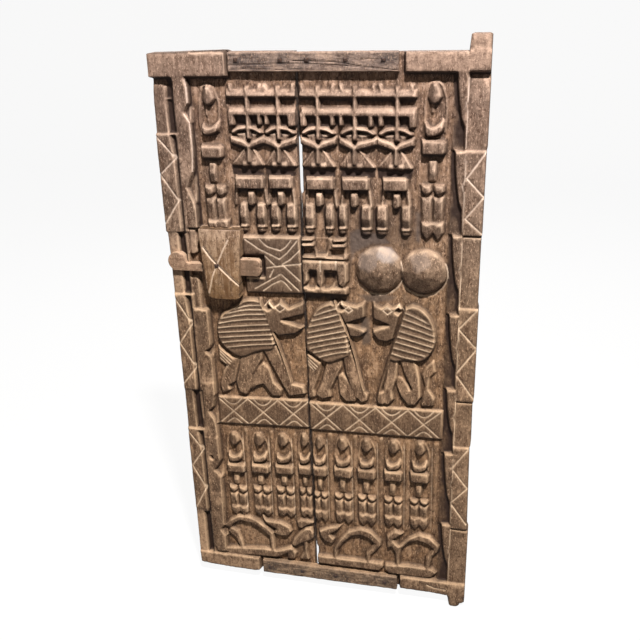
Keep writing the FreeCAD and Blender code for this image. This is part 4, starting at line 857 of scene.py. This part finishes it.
right_plank.smudge(box(710, 60, 760, 1400), 0.12, 16, "bare")
# on the bosses: handled shine with a painted highlight on the upper right facet, turned to the lamp, and darker stains
# on their left and lower facets
for outline, amount, layer in (
        ([(516, 428), (544, 430), (562, 452), (548, 462), (528, 460), (512, 448)], 0.55, "polish_and_sheen"),
        ([(466, 450), (512, 428), (514, 470), (496, 486), (470, 480)], 0.16, "polish_and_sheen"),
        ([(465, 470), (515, 470), (520, 535), (475, 518)], 0.25, "stained"),
        ([(585, 444), (626, 434), (640, 462), (604, 482)], 0.12, "polish_and_sheen"),
        ([(470, 440), (512, 430), (514, 468), (480, 480)], 0.4, "stained"),
        ([(570, 450), (620, 440), (670, 480), (662, 515), (620, 532), (580, 515)], 0.25, "stained")):
    right_plank.smudge(outline, amount, 4, layer, 22)
for cx, cy, radius in ((518, 482, 57.5), (620.5, 481, 55.5)):
    right_plank.groove([[(cx + radius * math.cos(k / 6), cy + radius * math.sin(k / 6)) for k in range(-3, 16)]], 3.4,
                       0.8, 2, fresh=0.85)

# field of the right plank, lower: two facing beasts, the diamonds, the small figures and the foot scene
striped_beast(
    right_plank,
    body=[(336, 700), (336, 650), (350, 620), (362, 592), (382, 575), (409, 565), (424, 600), (440, 645), (449, 700),
          (430, 712), (392, 729), (366, 716), (348, 700)],
    stripes=[[(366, 596), (390, 583), (412, 575)], [(358, 610), (390, 598), (420, 588)],
             [(350, 625), (390, 613), (424, 603)], [(347, 640), (390, 628), (428, 617)],
             [(344, 656), (390, 643), (433, 631)], [(343, 670), (390, 657), (438, 645)],
             [(346, 683), (395, 669), (443, 658)], [(352, 696), (400, 681), (446, 671)],
             [(362, 706), (410, 692), (448, 684)], [(380, 716), (420, 702), (449, 698)]],
    mane=[(411, 566), (428, 612), (447, 662), (462, 720), (475, 776), (481, 797)],
    head=[(418, 580), (428, 564), (446, 570), (462, 572), (484, 562), (486, 640), (470, 652), (448, 652), (440, 625)],
    ear=(428, 576), eye=(446, 582, 10), mouth=[(441, 613), (490, 594), (490, 628), (466, 620)],
    limbs=(([(336, 740), (352, 735), (376, 724), (372, 756), (356, 802), (360, 822), (336, 830)], 9,
            [(728, 5), (800, 9), (830, 9)]),
           ([(392, 712), (428, 712), (426, 738), (412, 768), (398, 800), (400, 820), (376, 828), (360, 818),
             (376, 776)], 12, [(712, 6), (770, 11), (826, 12)]),
           ([(416, 760), (428, 752), (440, 768), (452, 795), (466, 812), (460, 828), (436, 830), (420, 812)], 10,
            [(750, 4), (800, 10), (830, 10)]),
           ([(430, 708), (450, 690), (476, 776), (482, 794), (492, 804), (490, 822), (474, 830), (456, 808),
             (436, 752)], 11, [(690, 7), (780, 11), (828, 11)])),
    tail=[(338, 702), (376, 728), (362, 756), (338, 738)])
right_plank.groove([[(339, 712), (366, 738)], [(339, 720), (362, 744)], [(339, 728), (358, 750)]], 4, 2.5, 8)
striped_beast(
    right_plank,
    body=[(580, 570), (602, 560), (634, 580), (650, 612), (654, 650), (645, 682), (622, 708), (590, 704), (545, 712),
          (545, 690), (556, 650), (570, 610)],
    stripes=[[(582, 574), (605, 584), (630, 598)], [(577, 588), (606, 598), (640, 614)],
             [(573, 604), (606, 614), (648, 628)], [(569, 620), (606, 630), (651, 644)],
             [(566, 636), (605, 646), (650, 658)], [(561, 650), (602, 660), (646, 672)],
             [(557, 664), (598, 673), (636, 683)], [(552, 680), (586, 688), (622, 695)],
             [(548, 694), (570, 702), (590, 704)]],
    mane=[(582, 572), (571, 614), (558, 656), (544, 702), (528, 762), (518, 800), (515, 822)],
    head=[(573, 572), (566, 564), (550, 571), (538, 564), (524, 573), (504, 562), (503, 640), (516, 656), (536, 660),
          (552, 652), (562, 610)],
    ear=(566, 576), eye=(539, 579, 11), mouth=[(545, 611), (500, 594), (500, 628), (522, 618)],
    limbs=(([(632, 718), (650, 700), (655, 730), (642, 746), (640, 776), (656, 800), (652, 822), (622, 824), (624, 800),
             (630, 770), (622, 740)], 9, [(700, 5), (790, 9), (824, 9)]),
           ([(566, 700), (596, 696), (610, 716), (618, 752), (622, 800), (606, 826), (592, 818), (598, 780),
             (580, 742)], 12, [(696, 6), (770, 11), (826, 12)]),
           ([(560, 748), (574, 752), (590, 772), (604, 800), (606, 824), (590, 826), (572, 802), (562, 776)], 10,
            [(748, 4), (800, 10), (826, 10)]),
           ([(545, 702), (566, 700), (562, 752), (552, 790), (556, 812), (540, 830), (528, 822), (530, 780)], 11,
            [(690, 7), (780, 11), (830, 11)])),
    tail=None)
right_plank.carve([(516, 800), (534, 786), (540, 812), (530, 830), (514, 828)], 11, rim=6, bevel=5)
diamond_band(right_plank, left=336, right=676, top=838, slope=-0.02, centres=(386, 470, 551, 630), half=40)
for centre in (394, 458, 524, 592, 662):
    right_plank.carve([(centre - 6, 925), (centre + 5, 922), (centre + 6, 1050), (centre + 4, 1195), (centre - 5, 1200),
                       (centre - 6, 1050)], 3.5, rim=1, bevel=6)
    right_plank.groove([[(centre - 9, 940), (centre - 8, 1025), (centre - 7, 1185)]], 3, 0.6, 2, fresh=0.6)
RIGHT_STATIONS = (938, 978, 988, 1026, 1028, 1058, 1062, 1104, 1126, 1166, 1188, 1207)
for centre, half, lean in ((363, 19, 0), (424, 24, -3), (486, 24, -6), (555, 24, -9), (622, 24, -12)):
    standing_figure(right_plank, centre, half, [y + lean for y in RIGHT_STATIONS], rise=13)
for outline, rise, rim, bevel in (
        ([(346, 1310), (530, 1309), (532, 1322), (520, 1337), (346, 1338)], 13, 10, 5),
        ([(536, 1312), (600, 1306), (664, 1309), (674, 1320), (658, 1339), (545, 1341), (533, 1328)], 13, 10, 5),
        ([(392, 1320), (396, 1280), (410, 1252), (436, 1218), (470, 1204), (500, 1212), (525, 1238), (525, 1254),
          (509, 1277), (497, 1291), (493, 1320), (482, 1320), (484, 1284), (500, 1262), (506, 1250), (488, 1235),
          (468, 1229), (446, 1235), (424, 1258), (409, 1285), (404, 1320)], 12, 5, 7),
        ([(355, 1228), (384, 1213), (420, 1202), (408, 1222), (386, 1238), (399, 1250), (393, 1269), (372, 1263),
          (359, 1246)], 11, 5, 6),
        ([(564, 1320), (562, 1272), (552, 1254), (540, 1263), (539, 1220), (560, 1198), (586, 1206), (557, 1231),
          (572, 1247), (596, 1218), (624, 1201), (654, 1207), (679, 1232), (675, 1254), (661, 1272), (653, 1320),
          (640, 1320), (644, 1276), (661, 1246), (648, 1233), (622, 1225), (600, 1233), (580, 1257), (575, 1280),
          (575, 1320)], 12, 5, 7)):
    right_plank.carve(outline, rise, rim, bevel)

right_piece = plank_piece("right_plank_carving", right_plank, finish_plank(right_plank, seed=23))
right_piece.data.materials.append(plank_wood)
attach(right_piece, "leaf")
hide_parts("right_plank")

# Battens: two split bars of the same hardwood, adzed square and nailed over the sunk ground at the
# head and at the foot, to hold the two planks side by side. The grain runs along them and has opened
# in long drying cracks.

BATTEN_TONES = {"body": (126, 105, 87), "warm": (146, 119, 94), "ground": (126, 105, 87), "bloom": (140, 124, 110),
                "dark": (74, 56, 45), "pale": (170, 143, 116), "edge": (188, 160, 133), "cut": (200, 172, 144),
                "painted_shade": (44, 30, 22), "stain": (58, 50, 46)}


def weathered(name, node, voxel):
    """A finer copy of a CAD solid, with its arrises rubbed round, for marks to be cut into."""
    piece = placed(name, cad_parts[node].data.copy())
    fine = piece.modifiers.new("fine", "REMESH")
    fine.mode = "VOXEL"
    fine.voxel_size = voxel * 1
    settled(piece)
    piece.data.materials.clear()
    return piece


def points_of(piece):
    """The piece's points in mm, and which way each faces."""
    mesh = piece.data
    places = np.zeros(len(mesh.vertices) * 3, np.float32)
    facing = np.zeros(len(mesh.vertices) * 3, np.float32)
    mesh.vertices.foreach_get("co", places)
    mesh.vertices.foreach_get("normal", facing)
    return places.reshape(-1, 3) * 1000, facing.reshape(-1, 3)


def on_leaf(places):
    """Where points of the frame lie on the leaf: mm right of its left edge and mm below its top edge."""
    return places[:, 0] + PIVOT_X, HEAD_Z - places[:, 2]


def set_marks(piece, places, marks):
    """Puts the points back and keeps the wear marks for the finish."""
    mesh = piece.data
    mesh.vertices.foreach_set("co", (places / 1000).astype(np.float32).reshape(-1))
    for name in ("wear_and_highlight", "painted_highlight", "painted_shade", "high", "ground", "stained", "bare", "polish_and_sheen", "scored"):
        values = np.clip(marks.get(name, np.zeros(len(places))), 0, 1).astype(np.float32)
        mesh.attributes.new(name, "FLOAT", "POINT").data.foreach_set("value", values)
    mesh.update()
    smoothed(mesh)


def batten(name, node, seed, sag, cracks, nails):
    """Finishes one batten: knife-flat waves, long cracks and rust-dark stains about its nails, with wear on its
    arrises, painted highlight on its upper faces and painted shade in its cracks and under it.
    """
    piece = weathered(name, node, voxel=0.0017)
    places, facing = points_of(piece)
    low, high = places.min(0), places.max(0)
    x, y, z = places.T
    front = np.clip(-facing[:, 1], 0, 1)
    x_door, y_door = on_leaf(places)
    wave = unevenness(x_door, y_door, 30, 14, seed) * 0.8 + unevenness(x_door, y_door, 12, 5, seed + 1) * 0.5
    crack = np.zeros(len(x))
    for line, width, depth in cracks:
        crack = np.maximum(crack, depth * np.clip(1 - line_distance(x_door, y_door, line) / width, 0, 1))
    places[:, 1] += front * (crack + np.maximum(wave + 0.4, -0.2))
    upper = np.clip(facing[:, 2], 0, 1)
    lower = np.clip(-facing[:, 2], 0, 1)
    places[:, 2] += (lower - upper) * np.abs(unevenness(x_door, y, 26, 10, seed + 2)) * 1.6 - sag
    rim = np.minimum(np.minimum(z - low[2], high[2] - z), np.minimum(x - low[0], high[0] - x))
    stain = np.zeros(len(x))
    for nx, ny in nails:
        stain = np.maximum(stain, 0.85 * np.clip(1.25 - np.hypot((x_door - nx) * 0.7, y_door - ny) / 9, 0, 1))
    set_marks(piece, places, {
        "wear_and_highlight": np.clip(1 - rim / 3, 0, 1) * 0.7 * front * (0.7 + 0.5 * unevenness(x_door, y_door, 18, 9, seed + 3)),
        # painted highlight on faces turned up; painted shade in the cracks and on faces turned down
        "painted_highlight": upper * 0.8,
        "painted_shade": np.clip(crack / 2.2, 0, 1) + lower * 0.8,
        "high": front * 0.6,
        "stained": stain})
    return piece


batten_wood = old_wood("batten_wood", BATTEN_TONES, (0.09, 1, 1))
TOP_CRACKS = (([(184, 22), (260, 21), (320, 19), (430, 23), (520, 30)], 1.6, 1.6),
              ([(188, 31), (240, 30), (300, 33), (360, 30)], 1.3, 1.2),
              ([(330, 14), (420, 16), (470, 24), (556, 34)], 1.6, 1.8),
              ([(440, 4), (470, 12), (530, 10)], 1.2, 1.0))
FOOT_CRACKS = (([(235, 1382), (280, 1386), (310, 1392), (340, 1393)], 1.8, 2.0),
               ([(196, 1364), (300, 1362), (400, 1366), (480, 1364)], 1.2, 1.0),
               ([(505, 1358), (540, 1364), (562, 1360)], 1.4, 1.4))
top_batten = batten("top_batten_bar", "top_batten", seed=41, sag=3.5, cracks=TOP_CRACKS,
                    nails=((203, 16), (303, 16), (362, 16), (446, 16), (527, 16)))
foot_batten = batten("bottom_batten_bar", "bottom_batten", seed=57, sag=0, cracks=FOOT_CRACKS,
                     nails=((213, 1372), (306, 1372), (400, 1372), (535, 1372)))
for piece, node in ((top_batten, "top_batten"), (foot_batten, "bottom_batten")):
    piece.data.materials.append(batten_wood)
    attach(piece, "leaf")
    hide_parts(node)

# Nails: square-shanked smith's nails, driven through the battens and both planks. Their iron has gone
# dark and rust-brown with weather.


def smiths_iron(name, body, rust):
    """Forged iron: dark scale with rust in patches and a dull hammered skin."""
    material, shader = new_finish(name)
    place = knot(material, "ShaderNodeTexCoord").outputs["Object"]
    patches = mottle(material, place, (1, 1, 1), 260, 5, 0.7)
    dents = mottle(material, place, (1, 1, 1), 900, 3, 0.5)
    colour = layered(material, dye(*body), dye(*rust), spread(material, patches, 0.42, 0.62))
    material.node_tree.links.new(colour, shader.inputs["Base Color"])
    material.node_tree.links.new(spread(material, patches, 0.4, 0.65, 0.48, 0.85), shader.inputs["Roughness"])
    shader.inputs["Metallic"].default_value = 0.55
    bump = knot(material, "ShaderNodeBump", {"Height": dents, "Strength": 0.5, "Distance": 0.0006})
    material.node_tree.links.new(bump.outputs[0], shader.inputs["Normal"])
    return material


def dress(node, material):
    """Gives a CAD solid that stays as it is its finish."""
    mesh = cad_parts[node].data
    if not mesh.materials:
        mesh.materials.append(material)
    for index in range(len(mesh.materials)):
        mesh.materials[index] = material


nail_iron = smiths_iron("nail_iron", body=(52, 44, 42), rust=(88, 62, 48))
for node in ("top_batten_nails", "bottom_batten_nails"):
    dress(node, nail_iron)

# Lock case: the upright block of the wooden pin lock, cut from one piece with a swelling front and
# rounded foot. Two knife lines cross on its front at an iron stud, the bolt runs through a channel in
# its back, and four spikes hold it to the plank.

CASE_TONES = {"body": (144, 115, 84), "warm": (164, 130, 92), "ground": (144, 115, 84), "bloom": (162, 138, 116),
              "dark": (78, 54, 35), "pale": (192, 163, 135), "edge": (218, 192, 166), "cut": (232, 208, 182),
              "painted_shade": (44, 27, 17), "stain": (104, 74, 46)}
CASE_X, CASE_FOOT, CASE_RISE = -584.5, 852, 40     # mm: its middle line, its foot, and its front over the ground
CASE_HALF, CASE_FLARE, CASE_LENGTH = 40, 12, 175   # mm: half its width at the foot, what that gains upwards, its length
CAD_CORNER, CUT_CORNER = 18, 6                     # mm: the round of its lower corners in the CAD, and as they are cut
FOOT_TAPER, HEAD_TAPER = 53, 35                    # mm of its length that are thinned at the foot and at the head
lock_wood = old_wood("lock_wood", CASE_TONES, (1, 1, 0.09))
case = weathered("lock_case_block", "lock_case", voxel=0.0016)
places, facing = points_of(case)
x_door, y_door = on_leaf(places)
front = np.clip((-facing[:, 1] - 0.5) * 2.5, 0, 1)
knife = np.zeros(len(places))
KNIFE_LINES = (([(93, 446), (108, 467), (126, 487), (150, 511), (180, 542)], 3.6, 2.8),
               ([(156, 424), (143, 448), (126, 484), (112, 515), (97, 562)], 2.2, 1.4))
for line, width, depth in KNIFE_LINES:
    away = line_distance(x_door, y_door, seen(line, CASE_RISE))
    knife = np.maximum(knife, depth * np.clip(1 - away / width, 0, 1))
main_line, main_width, _ = KNIFE_LINES[0]
main_away = line_distance(x_door, y_door, seen(main_line, CASE_RISE))

# its foot is cut squarer than the CAD solid's
lift = np.clip(places[:, 2] - CASE_FOOT, 0, CAD_CORNER)
half = CASE_HALF + CASE_FLARE * lift / CASE_LENGTH
round_half = half - CAD_CORNER + np.sqrt(CAD_CORNER ** 2 - (CAD_CORNER - lift) ** 2)
square_half = half - CUT_CORNER + np.sqrt(CUT_CORNER ** 2 - np.clip(CUT_CORNER - lift, 0, CUT_CORNER) ** 2)
places[:, 0] = CASE_X + (places[:, 0] - CASE_X) * np.where(lift < CAD_CORNER, square_half / round_half, 1)

# its front is waved by the knife and thinned towards the foot and the head
waves = knife + 0.6 * unevenness(x_door, y_door, 14, 34, 71) + 0.25 * unevenness(x_door, y_door, 5, 12, 72)
places[:, 1] += front * waves
foot_thin = 1 - 0.22 * np.clip((CASE_FOOT + FOOT_TAPER - places[:, 2]) / FOOT_TAPER, 0, 1) ** 1.5
head_thin = 1 - 0.2 * np.clip((places[:, 2] - (CASE_FOOT + CASE_LENGTH - HEAD_TAPER)) / HEAD_TAPER, 0, 1) ** 1.5
for start, thin in ((-6, foot_thin), (-24, head_thin)):
    places[:, 1] = np.where(places[:, 1] < start, start + (places[:, 1] - start) * thin, places[:, 1])
rub = 0.75 + 0.5 * unevenness(x_door, y_door, 12, 22, 74)
# upper arrises pale: wear with a painted highlight on edges turned up to the lamp
arris = np.clip(0.8 - np.abs(facing[:, 1]), 0, 0.4) * (np.abs(facing[:, 1]) > 0.2) * (facing[:, 2] > 0.1)
lip = np.clip((np.abs(knife - 0.7) < 0.6) * (knife > 0.05), 0, 1)
streaks = np.clip(unevenness(x_door, y_door, 3.4, 60, 75) * 1.5 - 0.2, 0, 0.8) * np.clip((y_door - 425) / 40, 0, 1)
cuts = front * np.clip(knife * 1.5, 0, 1) * np.clip(2.2 - knife, 0, 1)
# painted shade on faces turned down
under = np.clip(-facing[:, 2], 0, 1) * 0.7
set_marks(case, places, {
    "wear_and_highlight": front * lip * 0.6 + arris * rub * 2,
    # painted highlight on faces turned right, towards the lamp
    "painted_highlight": np.clip(facing[:, 0], 0, 1) * 0.3,
    "scored": cuts * np.where(main_away < main_width, 1, 0.45),
    # painted shade in the main knife cut, on faces turned down and on the top face
    "painted_shade": np.clip(knife - 1.6, 0, 1) * 0.9 + under + np.clip(facing[:, 2] * 1.5 - 0.6, 0, 0.62),
    "high": front * np.clip((520 - y_door) / 120, 0, 1) * 0.8,
    # the front darkens towards its foot, with streaks
    "stained": front * (np.clip((y_door - 520) / 90, 0, 0.5) + streaks)})
case.data.materials.append(lock_wood)
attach(case, "leaf")
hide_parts("lock_case")
for node in ("lock_case_spikes", "lock_case_stud"):
    dress(node, nail_iron)

# Tumblers: three iron pins that drop from bores in the case on to the bolt, with wooden plugs driven
# in above them to close the bores.

for node in ("tumbler_pin_1", "tumbler_pin_2", "tumbler_pin_3"):
    dress(node, nail_iron)
dress("tumbler_bore_plugs", lock_wood)

# Bolt: one sliding bar of hard, handled wood. Its thick end rides under the case and is bored for the
# tumblers and hollowed for the key, and its arm ends in a disc-shaped knob at the edge of the leaf.

BOLT_TONES = {"body": (146, 117, 94), "warm": (163, 130, 104), "ground": (146, 117, 94), "bloom": (164, 135, 111),
              "dark": (104, 78, 60), "pale": (190, 159, 133), "edge": (206, 176, 148), "cut": (222, 194, 166),
              "painted_shade": (56, 37, 26), "stain": (104, 84, 66)}
KNOB_END, ARM_END, BOLT_Z = 44, 110, 925   # mm: where its knob and arm end on the leaf, and the height of its middle
bolt_wood = old_wood("bolt_wood", BOLT_TONES, (0.12, 1, 1))
bolt = weathered("lock_bolt_bar", "lock_bolt", voxel=0.0013)
places, facing = points_of(bolt)
x_door, y_door = on_leaf(places)
front = np.clip(-facing[:, 1], 0, 1)
places[:, 1] += front * 0.35 * np.maximum(unevenness(x_door, y_door, 9, 9, 81), 0)
past_knob = np.clip((x_door - KNOB_END) / 5, 0, 1)
places[:, 2] -= past_knob * np.clip((places[:, 2] - BOLT_Z) / 15, 0, 1) * np.where(x_door < ARM_END, 6, 5)
rim = np.clip(0.85 - np.abs(facing[:, 1]), 0, 0.5) * 2
set_marks(bolt, places, {
    "wear_and_highlight": rim * 0.7,
    # painted highlight on faces turned up
    "painted_highlight": np.clip(facing[:, 2], 0, 1) * 0.5,
    # painted shade on faces turned down
    "painted_shade": np.clip(-facing[:, 2], 0, 1) * 0.6,
    "high": front * 0.6,
    "stained": front * np.clip((x_door - 150) / 40, 0, 0.45)})
bolt.data.materials.append(bolt_wood)
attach(bolt, "bolt")
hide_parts("lock_bolt")

# Floor, backdrop, lamps and camera: the leaf stands on its lower pivot on a pale studio floor. It is
# lit by one strong lamp high on the right, a weak one before it and one behind it, and by the pale room.

FLOOR_END, BEND, BEND_STEPS = 5.0, 2.0, 24   # metres back to where the floor turns up, its round, and steps in that


def studio_floor():
    """A wide pale floor, with its far side turned up behind the leaf."""
    rail = [(-9.0, 0.0), (FLOOR_END, 0.0)]
    for k in range(1, BEND_STEPS + 1):
        turn = math.pi / 2 * k / BEND_STEPS
        rail.append((FLOOR_END + BEND * math.sin(turn), BEND - BEND * math.cos(turn)))
    rail.append((FLOOR_END + BEND, 9.0))
    verts = [(x, y, z) for y, z in rail for x in (-12.0, 12.0)]
    faces = [(2 * k, 2 * k + 1, 2 * k + 3, 2 * k + 2) for k in range(len(rail) - 1)]
    mesh = bpy.data.meshes.new("studio_floor")
    mesh.from_pydata(verts, [], faces)
    mesh.shade_smooth()
    return placed("studio_floor", mesh)


floor = studio_floor()
paper, matt = new_finish("studio_paper")
matt.inputs["Roughness"].default_value = 0.9
path = knot(paper, "ShaderNodeLightPath")
tone = layered(paper, dye(70, 66, 62), dye(236, 236, 236), path.outputs["Is Camera Ray"])
paper.node_tree.links.new(tone, matt.inputs["Base Color"])
bright = knot(paper, "ShaderNodeEmission", {"Color": (1, 1, 1, 1), "Strength": 1.0})
direct = knot(paper, "ShaderNodeMath", {0: path.outputs["Is Camera Ray"], 1: path.outputs["Is Glossy Ray"]},
              operation="MAXIMUM")
share = knot(paper, "ShaderNodeMath", {0: direct.outputs[0], 1: 0.92}, operation="MULTIPLY")
both = knot(paper, "ShaderNodeMixShader", {0: share.outputs[0], 1: matt.outputs[0], 2: bright.outputs[0]})
paper.node_tree.links.new(both.outputs[0], paper.node_tree.nodes["Material Output"].inputs["Surface"])
floor.data.materials.append(paper)

world = bpy.data.worlds.new("studio_room")
bpy.context.scene.world = world
world.use_nodes = True
room = world.node_tree.nodes["Background"]
room.inputs["Color"].default_value = (1.0, 0.92, 0.84, 1)
room.inputs["Strength"].default_value = 0.085
white = knot(world, "ShaderNodeBackground", {"Color": (1, 1, 1, 1)})
ray = knot(world, "ShaderNodeLightPath")
pick = knot(world, "ShaderNodeMixShader", {0: ray.outputs["Is Camera Ray"], 1: room.outputs[0], 2: white.outputs[0]})
world.node_tree.links.new(pick.outputs[0], world.node_tree.nodes["World Output"].inputs["Surface"])


def turned(place, way, up=(0, 0, 1)):
    """How a lamp or the camera stands: at a place, looking one way."""
    way = way / np.linalg.norm(way)
    side = np.cross(way, up)
    side = side / np.linalg.norm(side)
    up = np.cross(side, way)
    return Matrix.Translation(place) @ Matrix((tuple(side), tuple(up), tuple(-way))).transposed().to_4x4()


MIDDLE = (-0.35, 0, 0.7)             # metres: the middle of the leaf, which every lamp is turned to


def lamp(name, place, size, watts, tone):
    """A square studio lamp turned towards the leaf."""
    light = bpy.data.lights.new(name, "AREA")
    light.shape = "SQUARE"
    light.size = size
    light.energy = watts
    light.color = tone
    placed(name, light).matrix_world = turned(place, np.array(MIDDLE) - np.array(place))


lamp("key_lamp", (0.6, -2.15, 4.4), size=0.25, watts=385, tone=(1.0, 0.975, 0.95))
lamp("back_lamp", (-0.9, 2.6, 2.4), size=1.6, watts=45, tone=(1.0, 0.98, 0.96))
lamp("fill_lamp", (-0.9, -3.4, 1.8), size=2.2, watts=10, tone=(0.97, 0.97, 1.0))

PICTURE, SENSOR = 640, 36            # px and mm across the picture
FOCUS, SHIFT = 828.93, 0.9           # px: the length of the lens, and how far the picture is shifted up
LOOK, UP = (-0.2183, 0.8964, -0.3858), (-0.0637, 0.3814, 0.9222)   # which way it looks, and which way its top points
camera = placed("camera", bpy.data.cameras.new("camera"))
stand, = in_frame(EYE[0], -(EYE[2] + GROUND + FACE), EYE[1])
camera.matrix_world = turned(stand, np.array(LOOK), UP)
camera.data.sensor_width = SENSOR
camera.data.lens = FOCUS / PICTURE * SENSOR
camera.data.shift_y = SHIFT / PICTURE
camera.data.clip_start = 0.05
camera.data.clip_end = 60
bpy.context.scene.camera = camera
bpy.context.scene.view_settings.view_transform = "Standard"
